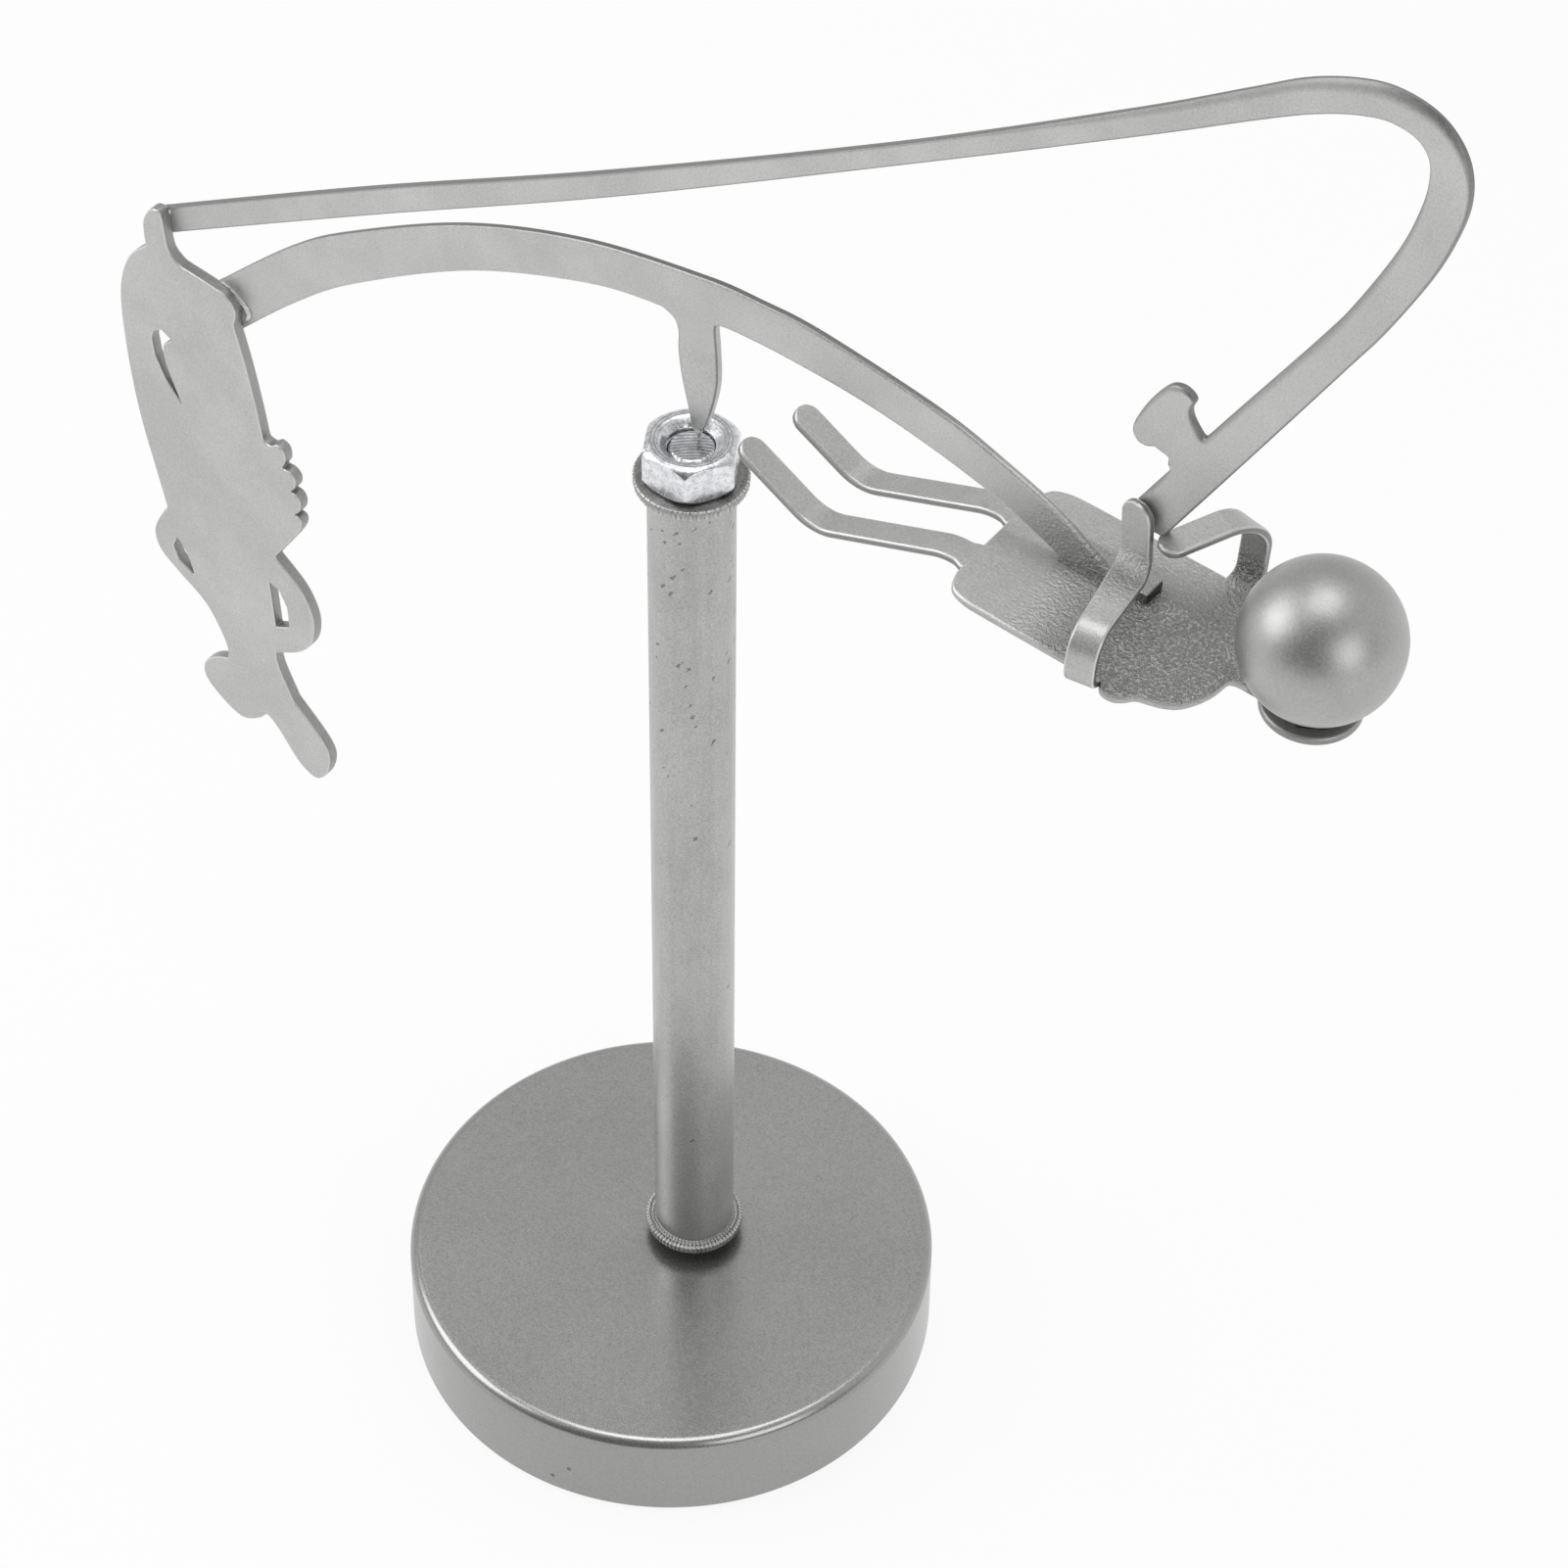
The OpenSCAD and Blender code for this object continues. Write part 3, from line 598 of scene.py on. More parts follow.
# base: flat top, rounded rim, upright side, broken lower edge; rows close to each round keep the flats flat
base = dict(
    r=42.5, low=0.8, high=17.5, rim=1.8, foot=0.5, close=(0.3, 0.2), underRow=30, topRows=(28, 14),
    edgeShade=0.64, turns=256)
r, low, high, rim, foot = (base[key] for key in ("r", "low", "high", "rim", "foot"))
onFlat, onSide = base["close"]
profile = np.vstack([
    [[0, low], [base["underRow"], low], [r - foot - onFlat, low]],
    rounded(r - foot, low + foot, foot, -90, 0, 5),
    [[r, low + foot + onSide], [r, high - rim - onSide]],
    rounded(r - rim, high - rim, rim, 0, 90, 12),
    [[r - rim - onFlat, high], *([row, high] for row in base["topRows"]), [0, high]]])
turn = fullTurn(base["turns"])
points = stacked(profile[:, :1] * cos(turn), profile[:, :1] * sin(turn), profile[:, 1:])
# painted shade on the rim and side, growing from the rim's start out to the side
edgeShade = np.repeat(base["edgeShade"] * ramp(profile[:, 0], (r - rim, r)), base["turns"])
shells = [(*gridSkin(points), {"wall": edgeShade})]
addPiece("baseTurned", shells, baseLacquer, "stand", "base_weight")


# ring with eased edges: inner wall, top, outer wall, underside
def easedRing(inner, outer, low, high, ease):
    beyond = 1.5 * ease
    return np.vstack([
        rounded(inner + ease, low + ease, ease, 270, 180, 5),
        rounded(inner + ease, high - ease, ease, 180, 90, 5),
        [[inner + beyond, high], [outer - beyond, high]],
        rounded(outer - ease, high - ease, ease, 90, 0, 5),
        rounded(outer - ease, low + ease, ease, 0, -90, 5),
        [[outer - beyond, low], [inner + beyond, low]]])


# upper washer: painted highlight along the top of its rim, and below it a burr that swings with the angle by
# two waves, each with its size, its count round the rim, and how far and how often its phase sways
stack = dict(
    washerR=8.3, holeR=4.25, capLow=183.6, capHigh=185.2, washerEase=0.24, turns=672,
    burrWaves=((0.28, 84, 1.5, 7), (0.22, 53, 2, 5)), burrDeep=0.22, burrBright=0.8, sheenFrom=0.87,
    tubeR=6.35, tubeBore=4.85, tubeLow=21.6, tubeHigh=183.6, tubeEase=0.25, tubeTurns=160)
profile = easedRing(stack["holeR"], stack["washerR"], stack["capLow"], stack["capHigh"], stack["washerEase"])
turn = fullTurn(stack["turns"])
swing = 0.5 + sum(size * cos(count * turn + far * sin(often * turn))
                  for size, count, far, often in stack["burrWaves"])
rimUp = ramp(profile[:, 1], (stack["capLow"], stack["capHigh"]))
onRim = profile[:, 0] > stack["washerR"] - stack["washerEase"] - 0.01
burr = (onRim & (rimUp < 0.5))[:, None] * swing
# painted highlight on the rim's top and on the burr where it is shallow
paintedSheen = np.maximum((onRim & (rimUp > stack["sheenFrom"]))[:, None] * swing[::-1],
                    stack["burrBright"] * (burr > 0) * (1 - burr))
points = onPost(profile[:, :1] - stack["burrDeep"] * burr, turn, profile[:, 1:])
addPiece("capWasherTurned", [(*gridSkin(points, ring=True), {"worn": paintedSheen.ravel(), "bare": 1.0})],
         rolledSteel, "stand", "cap_washer")

# tube: a plain eased ring
profile = easedRing(stack["tubeBore"], stack["tubeR"], stack["tubeLow"], stack["tubeHigh"], stack["tubeEase"])
points = onPost(profile[:, :1], fullTurn(stack["tubeTurns"]), profile[:, 1:])
addPiece("postDrawn", [(*gridSkin(points, ring=True), {})], postLacquer, "stand", "post_tube")

# lower washer: two rows of small teeth pressed round its rim; height falls off between the rows
# and swings with the angle, and the rim's radius swings with it
toothed = dict(
    r=7.85, low=20.0, high=21.6, teeth=72, perTooth=8, flatTo=6.3, pressedFrom=6.45, rows=(6.62, 7.3),
    rowWide=0.24, deep=0.4, bite=0.85, rimEase=0.3, rimBite=0.12, rimBright=0.8, biteDark=0.75)
turn = fullTurn(toothed["teeth"] * toothed["perTooth"])
swing = 0.5 + 0.5 * cos(toothed["teeth"] * turn)
ease = toothed["rimEase"]
topR = np.linspace(toothed["pressedFrom"], toothed["r"] - ease, 30)
topR = np.concatenate([[stack["holeR"], toothed["flatTo"]], topR])[:, None]
ridge = sum(np.exp(-((topR - row) / toothed["rowWide"]) ** 2) for row in toothed["rows"]).clip(0, 1)
topZ = toothed["high"] - toothed["deep"] * (1 - ridge * (1 - toothed["bite"] * swing))
topZ = np.where(topR > toothed["flatTo"], topZ, toothed["high"])
rimTurn = np.radians(np.linspace(80, -90, 12))[:, None]
rimR = toothed["r"] - ease * (1 - cos(rimTurn)) - toothed["rimBite"] * swing * cos(rimTurn)
rimZ = np.where(rimTurn > 0, topZ[-1:] - ease * (1 - sin(rimTurn)),
                toothed["low"] + ease * (1 + sin(rimTurn)))
once = np.ones(len(turn))
rowsR = np.vstack([topR * once, rimR, stack["holeR"] * once])
rowsZ = np.vstack([topZ, rimZ, toothed["low"] * once])
# painted highlight on the rows of teeth and the rim, cut back between the teeth
bright = np.vstack([ridge, toothed["rimBright"] * np.clip(sin(rimTurn), 0, 1), [[0]]])
bright = bright * (1 - toothed["biteDark"] * swing)
addPiece("footWasherTurned", [(*gridSkin(onPost(rowsR, turn, rowsZ), ring=True),
                               {"worn": bright.ravel(), "bare": 1.0})],
         rolledSteel, "stand", "foot_washer")

# nut: at each angle and height the lesser of the hexagon's flat and the two chamfers, which fall away as
# a slope plus a cube of the distance, with a countersink and a thread cut inside
nut = dict(
    flat=6.5, high=6.5, foot=185.2, coneR=5.9, slope=0.36, curve=0.18, blunt=0.06, fine=1.5, coarse=1.7,
    boreR=4.1, lead=0.95, minorR=3.45, pitch=1.25, steep=1.6, blank=0.3, faceGaps=(0.06, 0.12), turns=360)
turn = fullTurn(nut["turns"])
hexR = nut["flat"] / cos(turn % (pi / 3) - pi / 6)
rise = np.linspace(0, nut["fine"], 20)
middle = np.linspace(nut["coarse"], nut["high"] - nut["coarse"], 8)
rise = np.concatenate([rise, middle, nut["high"] - rise[::-1]])
fall = np.minimum(rise, nut["high"] - rise)
out = np.linspace(0, 3, 300)
coneR = nut["coneR"] + np.interp(fall, nut["slope"] * out + nut["curve"] * out ** 3, out)
side = -nut["blunt"] * np.log(np.exp(-hexR / nut["blunt"]) + np.exp(-coneR[:, None] / nut["blunt"]))
boreZ = np.linspace(nut["high"] - nut["lead"], nut["lead"], 90)
crest = 0.5 + 0.5 * cos(2 * pi * boreZ[:, None] / nut["pitch"] - turn)
bore = nut["boreR"] - (nut["boreR"] - nut["minorR"]) * np.clip(nut["steep"] * crest - nut["blank"], 0, 1)
mouth = nut["boreR"] + nut["lead"]
within, without = nut["faceGaps"]
flatR = np.linspace(mouth + within, nut["coneR"] - without, 4)
once = np.ones(nut["turns"])
flatRows = np.outer(flatR, once)
rowsR = np.vstack([flatRows, side, flatRows[::-1], mouth * once, bore, mouth * once])
rowsZ = np.concatenate([np.zeros(4), rise, np.full(5, nut["high"]), boreZ, [0]])
points = onPost(rowsR, turn, nut["foot"] + rowsZ[:, None])
faced = np.repeat((rowsZ == nut["high"]) | (rowsZ == 0), nut["turns"])
addPiece("nutPressed", [(*gridSkin(points, ring=True), {"bare": 1.0 * faced})],
         zincPlate, "stand", "pivot_nut")

# threaded rod: plain where hidden, threaded in the nut, its end chamfered and crossed by shallow sawn arcs
stud = dict(
    foot=1.8, top=190.4, r=4.0, chamfer=0.95, threadFrom=184.0, depth=0.6, pitch=1.25, arc=0.6,
    arcAt=(5.5, -7.0), arcDeep=0.05, arcEdge=0.1, faceGap=0.05, shankGap=0.3, facedFrom=0.2, turns=144)
turn = fullTurn(stud["turns"])
neckR = stud["r"] - stud["chamfer"]
threadZ = np.linspace(stud["threadFrom"], stud["top"] - stud["chamfer"], 70)
swing = cos(2 * pi * threadZ[:, None] / stud["pitch"] - turn)
thread = stud["r"] - stud["depth"] * (0.5 + 0.5 * swing)
faceR = np.linspace(neckR - stud["faceGap"], 0, 60)[:, None]
fromArc = np.hypot(faceR * cos(turn) - stud["arcAt"][0], faceR * sin(turn) - stud["arcAt"][1])
inward = np.clip(1 - faceR / faceR[0], 0, stud["arcEdge"]) / stud["arcEdge"]
inward = np.where(faceR > 0, inward, 0)
faceZ = stud["top"] - stud["arcDeep"] * inward * (0.5 - 0.5 * cos(2 * pi * fromArc / stud["arc"]))
lowZ = [stud["foot"], stud["foot"], stud["foot"] + stud["chamfer"], stud["threadFrom"] - stud["shankGap"]]
once = np.ones(stud["turns"])
rowsR = np.vstack([np.outer([0, neckR, stud["r"], stud["r"]], once), thread, faceR * once])
rowsZ = np.vstack([np.outer(np.concatenate([lowZ, threadZ]), once), faceZ])
faced = rowsZ.ravel() > stud["top"] - stud["facedFrom"]
addPiece("studFaced", [(*gridSkin(onPost(rowsR, turn, rowsZ)), {"bare": 1.0 * faced})],
         facedSteel, "stand", "threaded_rod")
print("stand built")


# height of the angler's sheet in the beam's plane, h above its middle
def torsoLevel(x, h):
    return places["angler"][2] + h - (x - places["angler"][0]) * np.tan(places["pitch"])


# plate cut from sheet, standing in the beam's plane
def addPlate(name, flat, tall, faces, marks, node):
    addPiece(name, [(onPlane(flat[:, 0], tall, flat[:, 1]), faces, marks)],
             sheetLacquer, "balance", node, caps=True)


# beam: one outline from the fish end over the top to the torso, back under and round the leg; its edges on
# the leg, along the sheet, and toward the torso, where they carry a painted highlight
beam = dict(
    top=[[-91.5, -20.1], [-76, -5.2], [-64, 3.8], [-42, 16.7], [-20.5, 25], [0, 29.1], [10, 29.8],
        [20, 29.6], [39, 26.6], [49, 23.6], [60, 19], [69, 12.8]],
    under=[[69.2, 10.3], [64, 10.5], [60.6, 11.5], [52, 15.5], [40, 19.1], [27, 21.5], [14, 22.4],
        [7.5, 22.4], [3.6, 22.2], [2.5, 21.4], [2.7, 17.7]],
    legFront=[[2.7, 17.7], [3.1, 12.8], [2.9, 9.5], [2.1, 5.6], [0.98, 2.3]],
    legBack=[[-0.9, 2.35], [-1.6, 5], [-3, 9.9], [-3.8, 14.3], [-3.9, 17.4], [-4.6, 19.4], [-6.6, 20.4]],
    tail=[[-6.6, 20.4], [-19.6, 17.7], [-41, 8.8], [-63.6, -5.6], [-76, -16], [-88, -28]], legTop=17.7,
    legSet=1.05, legFrom=21.9, legWide=6, ground=(2.2, 4.5), groundEdge=0.3, arris=0.6, weld=(66, 12),
    weldLong=15, mostGrit=0.9, paintedSheen=(38, 52), rollTo=38,
    edges=dict(ease=(0.18, 0.18, 0.52), roll=(0.3, 0.8, 0.1), worn=(1, 0.2, 1), wall=(0.1, 1, 0.3)))


# which points belong to the leg, below a height
def onLeg(flat, top):
    return (np.abs(flat[:, 0]) < beam["legWide"]) & (flat[:, 1] < top)


loop = facing(softLoop(splines(*(beam[run] for run in ("top", "under", "legFront", "legBack", "tail")))), 1)
leg = onLeg(loop, beam["legFrom"])
# edges toward the torso carry a painted highlight
paintedSheen = ramp(loop[:, 0], beam["paintedSheen"])
edge = {key: np.where(leg, low, plain + (worn - plain) * paintedSheen)
        for key, (low, plain, worn) in beam["edges"].items()}
blunt = np.where(leg, np.interp(loop[:, 1], beam["ground"], (beam["groundEdge"], 1)), 1)
edge = dict(edge, ease=edge["ease"] * blunt, roll=edge["roll"] * blunt, rollTo=beam["rollTo"])
flat, tall, faces, marks = plateSkin([loop], -halfSheet, halfSheet, edge)
leg = onLeg(flat, beam["legTop"])
tall = tall - np.where(leg, beam["legSet"] * (1 - flat[:, 1] / beam["legTop"]), 0)
marks["bare"] = np.where(leg, 1 - ramp(flat[:, 1], beam["ground"]), 0)
leg = onLeg(flat, beam["legFrom"])
# painted shade along the leg's arris
marks["burnt"] = np.where(leg, beam["arris"] * marks["worn"], 0)     # the leg's arris is left dark
marks["worn"] = np.where(leg, 0, marks["worn"])
# weld grit with painted shade, fading away from the weld
weldGap = np.hypot(*(flat - beam["weld"]).T)
marks["grit"] = np.clip(1 - weldGap / beam["weldLong"], 0, beam["mostGrit"])
addPlate("beamCut", flat, tall, faces, marks, "balance_beam")

# foot of the beam: a short bar welded to the torso behind the beam, with painted shade on its cut ends
foot = dict(start=11.0, stop=23.4, w=3.6, half=1.95, low=0.55, high=2.55, ease=0.25, grit=0.7, steps=60)
u = np.linspace(foot["start"], foot["stop"], foot["steps"])
fromEnd, ease = np.minimum(u - foot["start"], foot["stop"] - u), foot["ease"]
drop = ease - roundOff(ease, fromEnd)
path = onAngler(u, foot["w"], (foot["low"] + foot["high"]) / 2)
points, faces, marks = strapSkin(path, np.tile([[0.0, 1.0, 0.0]], (foot["steps"], 1)), foot["half"] - drop,
                                 (foot["high"] - foot["low"]) / 2 - drop, ease)
# painted shade on the bar's cut ends
marks["burnt"] = np.repeat(np.where(fromEnd < 0.01, 1.0, 0.0), len(points) // foot["steps"])
marks["grit"] = foot["grit"]
addPiece("beamFoot", [(points, faces, marks)], sheetLacquer, "balance")

# rod and line: a strip of changing width along one curve, with the reel as a tab on its inner edge
rod = dict(
    line=[[-101.4, -13, 4.2], [-59, 12.3, 4.2], [-16, 37.2, 3.72], [32, 66.6, 3], [66.6, 88.8, 3.52],
        [82.7, 99.6, 4.04], [90.4, 104.6, 4.56], [96.8, 107.6, 4.72], [101.8, 108.7, 4.82],
        [106.5, 107.7, 4.95], [109.4, 104.6, 5.21], [110.2, 100.2, 5.6], [109.4, 95, 5.6],
        [107, 87.4, 5.4], [102, 76.4, 5.2], [97.4, 68, 5.1], [84.5, 45.7, 5.68], [70.6, 21.6, 6]],
    reel=([[82, 42.6], [80, 44.3], [78.3, 46.4], [78, 48], [78.6, 49.5]], [[78.6, 49.5], [77.7, 50.5],
        [76.2, 50.9], [74.4, 50], [72, 46.5], [70.2, 42.4], [69.8, 40], [70.8, 38.6], [72.3, 38.6]],
        [[73.2, 39.2]], [[74.3, 38.8], [75.5, 38.4], [75.6, 36.9], [79, 36]]),
    buttH=14.35, buttFrom=60, walk=0.2, reelWalk=0.15, roll=2.6, least=0.1, widens=(40, 95),
    # the edge's wall mark paints shade over the whole rolled edge
    edge=dict(ease=0.18, rollTo=44, back=0.2, worn=0.0, wall=1.2, fade=1.0))
middle = spline(rod["line"], 24)
heading = unit(np.gradient(middle[:, :2], axis=0))
edgeOut = np.column_stack([-heading[:, 1], heading[:, 0]]) * middle[:, 2:] / 2
outline = np.vstack([middle[:, :2] + edgeOut, (middle[:, :2] - edgeOut)[::-1]])
outline = walk(outline, np.arange(0, lengthsOf(outline)[-1], rod["walk"]))
reel = splines(*rod["reel"])
outline = withTab(outline, walk(reel, np.arange(0, lengthsOf(reel)[-1], rod["reelWalk"])))
aboveHand = outline[:, 1] > torsoLevel(outline[:, 0], rod["buttH"])
loop = facing(softLoop(outline[(outline[:, 0] < rod["buttFrom"]) | aboveHand]), 1)
upward = (loop - intoMetal(loop, np.ones(len(loop))))[:, 1].clip(0, 1)     # the upper edge is rolled widest
wide = rod["least"] + (1 - rod["least"]) * upward * ramp(loop[:, 0], rod["widens"])
edge = dict(rod["edge"], roll=rod["roll"] * wide)
addPlate("rodCut", *plateSkin([loop], -halfSheet, halfSheet, edge), "fishing_rod")

# fish: one outline of lips, fins and tail, with three slots, lapped on the front of the beam
fish = dict(
    outline=([[-103.1, -17.3], [-103.2, -13], [-102.2, -10.4], [-100.8, -9], [-99.4, -9.4], [-98.9, -13],
        [-98.3, -16.2], [-96.4, -17.8]], [[-96.4, -17.8], [-90.4, -18.5], [-87.4, -19.2], [-85.8, -21.4],
        [-86.4, -24.4]], [[-86.4, -24.4], [-84.7, -31.2], [-83.2, -39], [-82.2, -45.4]], [[-82.2, -45.4],
        [-80.9, -45.6], [-79.6, -44.7], [-78.2, -45.4], [-78.0, -47.4], [-78.9, -49.1]], [[-78.9, -49.1],
        [-77.4, -49.1], [-76.3, -50.1], [-76.4, -51.8], [-77.5, -53.2]], [[-77.5, -53.2], [-76.2, -53.4],
        [-75.5, -54.7], [-75.9, -56.6], [-77.1, -57.8]], [[-77.1, -57.8], [-75.9, -58], [-75.6, -59.2],
        [-76.4, -61.2], [-78, -63.8], [-81.8, -69.6]], [[-81.8, -69.6], [-77.2, -73.6], [-75.1, -77.4],
        [-74.6, -81], [-75.6, -85], [-78.4, -88.4], [-83.3, -91.4]], [[-83.3, -91.4], [-83, -94.5],
        [-80.4, -100.6]], [[-80.4, -100.6], [-75, -106], [-73.4, -109.4], [-74.4, -113.6], [-76.8, -116],
        [-80.2, -114.4], [-84.2, -109.2], [-86.4, -107.2]], [[-86.4, -107.2], [-88.6, -109.6],
        [-92, -111.3], [-96, -109.6], [-99.2, -106.6], [-99.4, -103.4], [-97, -100.6], [-94, -99.1]],
        [[-94, -99.1], [-94.2, -95.6], [-97.6, -89.2], [-103, -85.2], [-106.6, -82.2], [-107.5, -78.6],
        [-106.2, -75], [-104.2, -71.6]], [[-104.2, -71.6], [-105.6, -65.4], [-108.2, -53], [-109.5, -40],
        [-109.4, -29], [-107, -21.6], [-103.1, -17.3]]),
    slots=(([[-103.8, -36.2], [-103.2, -34.5], [-101.6, -33.3]], [[-99.6, -34.4], [-101.5, -36.4],
        [-101.4, -39.6], [-100.2, -43.3]], [[-98.8, -47]], [[-101.7, -43.5], [-103.5, -39.4]]),
        ([[-102.7, -77.4]], [[-103.7, -79.8], [-102.9, -82.1]], [[-99.7, -83.9]], [[-100.4, -81.1],
        [-101.6, -78.6]]), ([[-83.5, -76], [-83.2, -80.6], [-82.9, -85.4]], [[-80, -83.8]],
        [[-80.2, -79.6], [-81.6, -76.6]])),
    # painted shade on the cut walls, lighter than on the other plates
    low=-2.65, high=-0.65, edge=dict(ease=0.3, wall=0.6), walk=(0.3, 0.2), slotWalk=(0.2, 0.12))
loops = [facing(softLoop(splines(*fish["outline"]), *fish["walk"]), 1)]
loops += [facing(softLoop(splines(*slot), *fish["slotWalk"]), -1) for slot in fish["slots"]]
addPlate("fishCut", *plateSkin(loops, fish["low"], fish["high"], fish["edge"], lattice=1.8), "fish")
print("plates built")

# angler's torso, neck and head disc: a flat plate
torso = dict(
    far=([[0, 7.45], [0.3, 9.65], [1.4, 11.8], [4, 12.8], [8, 13]], [[28, 13], [32, 12.6], [35.2, 11.7],
        [37.6, 9.4], [38.8, 7], [39.4, 5], [39.6, 3.6]]),
    near=([[39.4, -2.6], [39.1, -5.6], [38.2, -8.2], [36.8, -10.4], [35, -11.6], [33, -12.3],
        [31.6, -12.7], [30.7, -13.8], [29.6, -14.7], [28.2, -14.95], [27, -14.6], [26.2, -13.4]],
        [[22, -13.2], [8, -13], [4, -12.8], [1.4, -11.8], [0.3, -9.65], [0, -7.45]]),
    neck=((40.2, 3.4), (43.1, 3.4)), neckBack=((43.7, -2.2), (40.2, -2.2)), head=(49.8, 1.2), headR=7.0,
    edge=dict(ease=0.42, wall=0.2), lumpy=(9, 20), smooth=(4, 11), grit=(0.05, 1.0), farGrit=0.4,
    neckFrom=42, underBallShade=0.45)
centre = np.array(torso["head"])
first, last = (np.arctan2(*(np.array(corner) - centre)[::-1])
               for corner in (torso["neck"][1], torso["neckBack"][0]))
g = np.linspace(first, last, 60)
disc = centre + torso["headR"] * np.column_stack([cos(g), sin(g)])
outline = np.vstack([splines(*torso["far"]), torso["neck"], disc, torso["neckBack"], splines(*torso["near"])])
loop = facing(softLoop(outline, ease=0.3), 1)
flat, tall, faces, marks = plateSkin([loop], -halfSheet, halfSheet, torso["edge"], lattice=1.2)
least, most = torso["grit"]
patchy = 1 - (1 - torso["farGrit"]) * ramp(flat[:, 1], torso["smooth"])
onHead, offWall = flat[:, 0] > torso["neckFrom"], 1 - marks["wall"] / torso["edge"]["wall"]
# weld grit with painted shade, growing along the torso, weaker toward the far side, none on head or walls
marks["grit"] = (least + (most - least) * ramp(flat[:, 0], torso["lumpy"]) * patchy) * ~onHead * offWall
# painted shade on the head disc under the ball
marks["burnt"] = torso["underBallShade"] * onHead
angler = [(onAngler(flat[:, 0], flat[:, 1], tall), faces, marks)]


# limb: a strap bent along corner points, walked closely and closer still over its round end; its root flares,
# and its width turns from one direction to another
def limbSkin(limb):
    path = bentPath(limb["corners"], limb["bends"])
    total, wide, ease = lengthsOf(path)[-1], limb["half"] + limb["grow"], limb["ease"]
    toe = wide * (1 - cos(np.linspace(0, pi / 2, 16)))
    at = np.concatenate([np.arange(0, total - wide - 0.2, 0.4), (total - toe)[::-1]])
    left = total - at
    turned = ramp(at, limb["turn"])[:, None]
    half = np.where(left < wide, roundOff(wide, left), limb["half"] + limb["grow"] * turned[:, 0])
    thick = halfSheet - limb["sunk"] - ease + roundOff(ease, left)
    flare = limb["flare"] * np.exp(-(np.clip(at - limb["flareFrom"], 0, None) / limb["flareLong"]) ** 2)
    across = np.outer(1 - turned, limb["across"][0]) + np.outer(turned, limb["across"][1])
    aside = onAngler(*across.T) - onAngler(0, 0, 0)
    half = np.maximum(half + flare / 2, 0.02)
    points, faces, marks = strapSkin(onAngler(*walk(path, at).T), aside, half, thick, ease)
    # weld grit with painted shade, most at gritAt
    grit = limb["grit"] * np.clip(1.2 - np.abs(at - limb["gritAt"]) / limb["gritLong"], 0.1, 1)
    marks["grit"] = np.repeat(grit, len(points) // len(at))
    return points, faces, marks


# legs: straps bent down at the hip and back up at the knee
strap = dict(
    half=2.2, grow=0.0, ease=0.4, sunk=0.03, flare=1.0, flareFrom=3.0, flareLong=0.8,
    across=((0, 1, 0), (0, 1, 0)), turn=(0, 1), grit=0.1, gritAt=0, gritLong=6)
for w, toe in ((-5.25, (-38.2, -1.8)), (5.25, (-36.7, -2.6))):
    angler.append(limbSkin(dict(
        strap, corners=[[3, w, 0], [-3.5, w, 0], [-24.5, w, -9], [toe[0], w, toe[1]]], bends=(8, 7))))

# near arm: leaves the side, bends up, comes over and stands up in front of the rod, a little wider at its end
angler.append(limbSkin(dict(
    strap,
    corners=[[23.9, -10, 0], [24.3, -15.4, 0], [24.3, -15.4, 8.4], [21.75, 0.4, 8.4], [20.9, 0.4, 19.4]],
    bends=(2.2, 3.8, 3.2), across=((0.986, 0.168, 0), (0.985, -0.174, 0)), turn=(16, 24), grow=0.35,
    flare=0.0, grit=0.7, gritAt=24)))

# far arm: stands up off the other side, twists as it bends over, and meets the rod's butt; weld grit with
# painted shade round its root
angler.append(limbSkin(dict(
    strap, corners=[[31.2, 8, 0], [31.4, 14.4, 0], [31.6, 14.4, 14.2], [25.5, -0.5, 14.2]],
    bends=(3.0, 6.2), across=((1, 0, 0), (0.909, -0.417, 0)), turn=(14, 24), flareFrom=4.0, flareLong=2.0,
    grit=1.0, gritAt=8)))
addPiece("anglerBent", angler, anglerShadeLacquer, "balance", "angler", caps=True)

# head: a ball, radius even all round
head = dict(
    r=11.25, u=49.8, w=1.2, falls=97, turns=160, weldR=4.3, weldUp=0.35, bead=0.95, beadRows=180,
    beadTurns=16, waves=((0.12, 9), (0.08, 17)), phase=0.6, underBallShade=0.8)
fall, turn = np.linspace(0, pi, head["falls"])[:, None], fullTurn(head["turns"])
ringR = head["r"] * sin(fall)
points = onAngler(head["u"] + ringR * cos(turn), head["w"] + ringR * sin(turn),
                  halfSheet + head["r"] * (1 + cos(fall)))
addPiece("headBall", [(*gridSkin(points), {})], ballLacquer, "balance", "head_ball")

# weld under the ball: a lumpy ring, its section's radius stirred by slow waves round it, with painted shade
turn, g = fullTurn(head["beadRows"])[:, None], fullTurn(head["beadTurns"])
(big, few), (small, many) = head["waves"]
beadR = head["bead"] * (1 + big * sin(few * turn + head["phase"]) + small * sin(many * turn + g))
ringR = head["weldR"] + beadR * cos(g)
points = onAngler(head["u"] + ringR * cos(turn), head["w"] + ringR * sin(turn),
                  halfSheet + head["weldUp"] + beadR * sin(g))
addPiece("ballBead", [(*gridSkin(points, ring=True), {"burnt": head["underBallShade"]})],
         ballLacquer, "balance", "ball_weld")

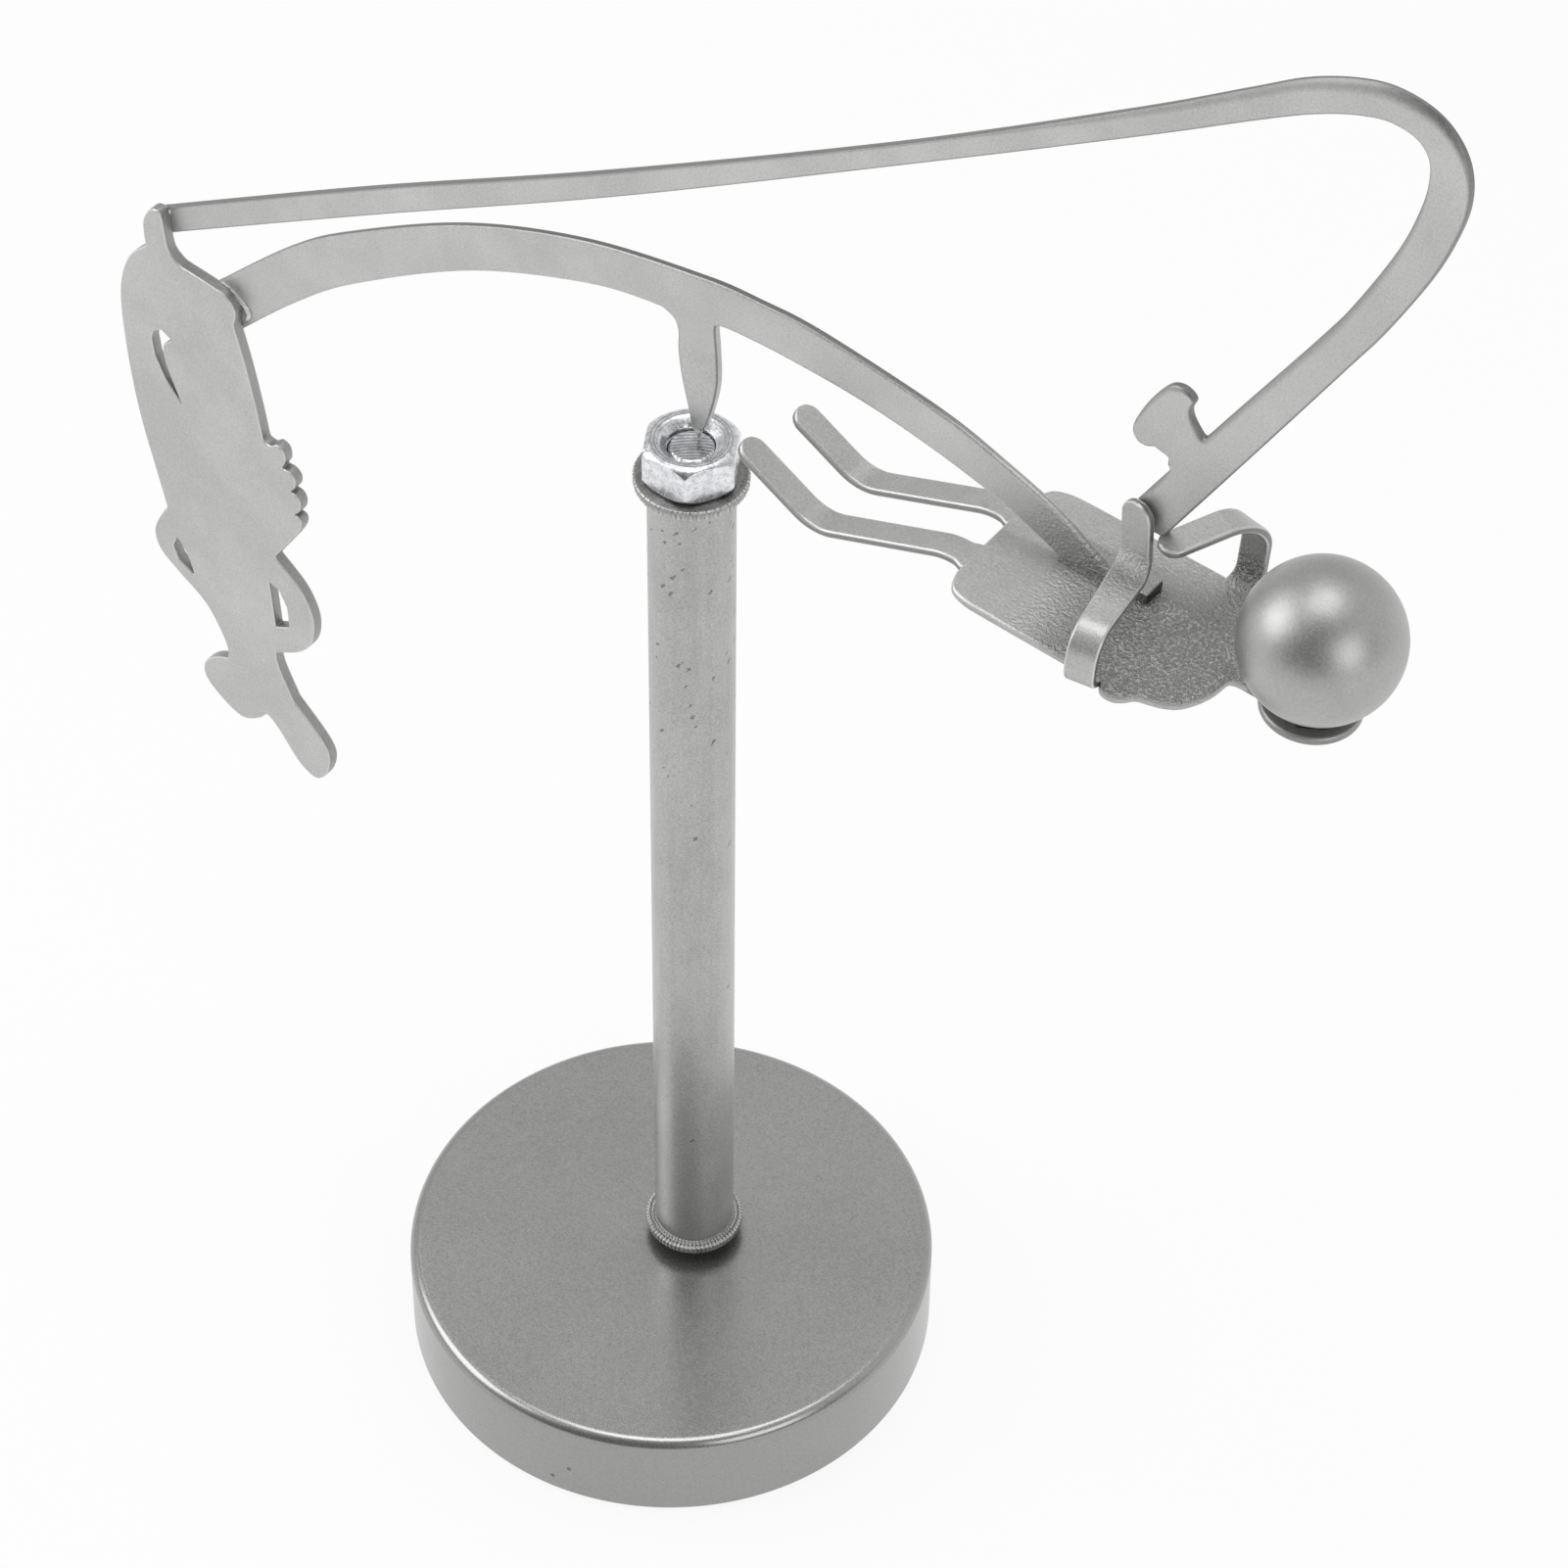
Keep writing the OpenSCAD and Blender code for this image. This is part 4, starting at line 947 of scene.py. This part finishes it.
# weld beads: beam to torso, fish to beam and line, rod to the far hand; path, radius, lumpiness and marks
fishWeld = spline([[-90.2, -18.8], [-87.5, -19.5], [-85.6, -20.8], [-84.6, -22.3], [-85.5, -24]])
beads = dict(
    # painted shade along the beam's foot on the torso
    beamNear=(onAngler(np.linspace(9, 19.5, 60), 1.45, 0.65), 0.45, 0.3, dict(grit=0.9, burnt=0.3)),
    beamEnd=(onAngler(*np.linspace((17.6, 1.6, 0.9), (19.4, 2.4, 2.3), 24).T), 0.9, 0.4, dict(grit=0.8)),
    # painted highlight along the fish's brow
    brow=(onPlane(fishWeld[:, 0], -0.8, fishWeld[:, 1]), 0.42, 0.25, dict(worn=3.0)),
    lips=(onPlane(*np.linspace((-102, -0.75, -11.6), (-98.8, -0.75, -9.8), 40).T), 0.4, 0.4, dict(bare=0.9)),
    farHand=(onAngler(*np.linspace((24.9, 1.2, 14.5), (25.8, 2.8, 14.5), 30).T), 0.25, 0.4, dict(grit=0.4)))
shells = [(*beadSkin(path, radius, lumps, seed), marks)
          for seed, (path, radius, lumps, marks) in enumerate(beads.values(), 11)]
addPiece("weldBeads", shells, sheetLacquer, "balance")
print("balance built")

# camera: turned, raised and set back as the photograph was taken, then rolled, panned and tilted
view = dict(
    turn=38.0, lift=52.059, back=867.94, roll=-0.634, pan=1.223, tilt=5.652, focalPx=5333.04, framePx=1601,
    sensor=36.0, clipEnd=50)


# two directions turned in their own plane
def turnedPair(a, b, angle):
    return cos(angle) * a + sin(angle) * b, cos(angle) * b - sin(angle) * a


turn, lift, roll, pan, tilt = (np.radians(view[key]) for key in ("turn", "lift", "roll", "pan", "tilt"))
toRow = np.array([[cos(turn), -sin(turn), 0], [sin(turn), cos(turn), 0], [0, 0, 1]])
ahead, right = np.array([0, cos(lift), -sin(lift)]), np.array([1.0, 0, 0])
spot, up = -view["back"] * ahead, np.cross(right, ahead)
right, up = turnedPair(right, up, roll)
ahead, right = turnedPair(ahead, right, pan)
ahead, up = turnedPair(ahead, up, tilt)
camera = bpy.data.cameras.new("photoCamera")
camera.sensor_width = view["sensor"]
camera.lens = view["focalPx"] * view["sensor"] / view["framePx"]
camera.clip_end = view["clipEnd"]
cameraObject = addObject("photoCamera", camera)
pose = np.eye(4)
pose[:3] = np.column_stack([toRow @ right, toRow @ up, -(toRow @ ahead), toRow @ spot * mm])
cameraObject.matrix_world = Matrix(pose.tolist())
scene.camera = cameraObject

# floor: white table that the lens and the metal both see bright, with the toy's shadow left in it
table = dict(half=4, colour="#F4F4F4", glow=0.9)
floorMesh = bpy.data.meshes.new("floor")
corners = [(x * table["half"], y * table["half"], 0) for x, y in ((-1, -1), (1, -1), (1, 1), (-1, 1))]
floorMesh.from_pydata(corners, [], [(0, 1, 2, 3)])
floor = addObject("floor", floorMesh)
whiteTable = bpy.data.materials.new("white table top")
tree = freshTree(whiteTable)
rays = addNode(tree, "LightPath", {})
seen = rays["Is Camera Ray"]
for ray in ("Is Glossy Ray", "Is Transmission Ray"):
    seen = addNode(tree, "Math", {0: seen, 1: rays[ray]}, operation="MAXIMUM")[0]
seen = addNode(tree, "Math", {0: seen, 1: table["glow"]}, operation="MULTIPLY")[0]
matt = addNode(tree, "BsdfDiffuse", {"Color": hexColour(table["colour"])})[0]
glow = addNode(tree, "Emission", {})[0]
addNode(tree, "OutputMaterial", {"Surface": addNode(tree, "MixShader", {0: seen, 1: matt, 2: glow})[0]})
floorMesh.materials.append(whiteTable)

# room: pale low down, greyer overhead and to the left, dim on the photograph's side
room = dict(
    low=0.8, high=0.54, grey=(-0.5, 0, 0.866), greyFrom=(0.1, 0.87), dim=0.18, dimFrom=(0.15, 0.6),
    toward=(0.616, -0.788, 0))
world = bpy.data.worlds.new("studio")
scene.world = world
tree = freshTree(world)
way = addNode(tree, "TexCoord", {})["Generated"]
height, toward = (addNode(tree, "VectorMath", {0: way, 1: room[key]}, operation="DOT_PRODUCT")["Value"]
                  for key in ("grey", "toward"))
level = addNode(tree, "MapRange", {
    "Value": height, "From Min": room["greyFrom"][0], "From Max": room["greyFrom"][1], "To Min": room["low"],
    "To Max": room["high"]})["Result"]
dimmed = addNode(tree, "MapRange", {
    "Value": toward, "From Min": room["dimFrom"][0], "From Max": room["dimFrom"][1]})["Result"]
level = addNode(tree, "Mix", {0: dimmed, 2: level, 3: room["dim"]})[0]
backdrop = addNode(tree, "Background", {"Color": (1, 1, 1, 1), "Strength": level})[0]
addNode(tree, "OutputWorld", {"Surface": backdrop})

# three soft boxes, placed by the ball's highlights: direction, distance, size and watts
lamps = dict(
    left=((-0.71, -0.44, 0.55), 1.0, 0.7, 3.7), over=((-0.056, 0.102, 0.992), 1.1, 0.65, 3.4),
    right=((0.857, -0.308, 0.41), 1.0, 0.6, 2.2))
lampAim = Vector((0.02, 0, 0.17))
for name, (way, away, size, watts) in lamps.items():
    light = bpy.data.lights.new(name + "SoftBox", "AREA")
    light.energy = watts
    light.size = size
    lamp = addObject(name + "SoftBox", light)
    way = Vector(way).normalized()
    lamp.location = lampAim + way * away
    lamp.rotation_euler = way.to_track_quat("Z", "Y").to_euler()

scene.view_settings.view_transform = "Standard"
print("stage set")
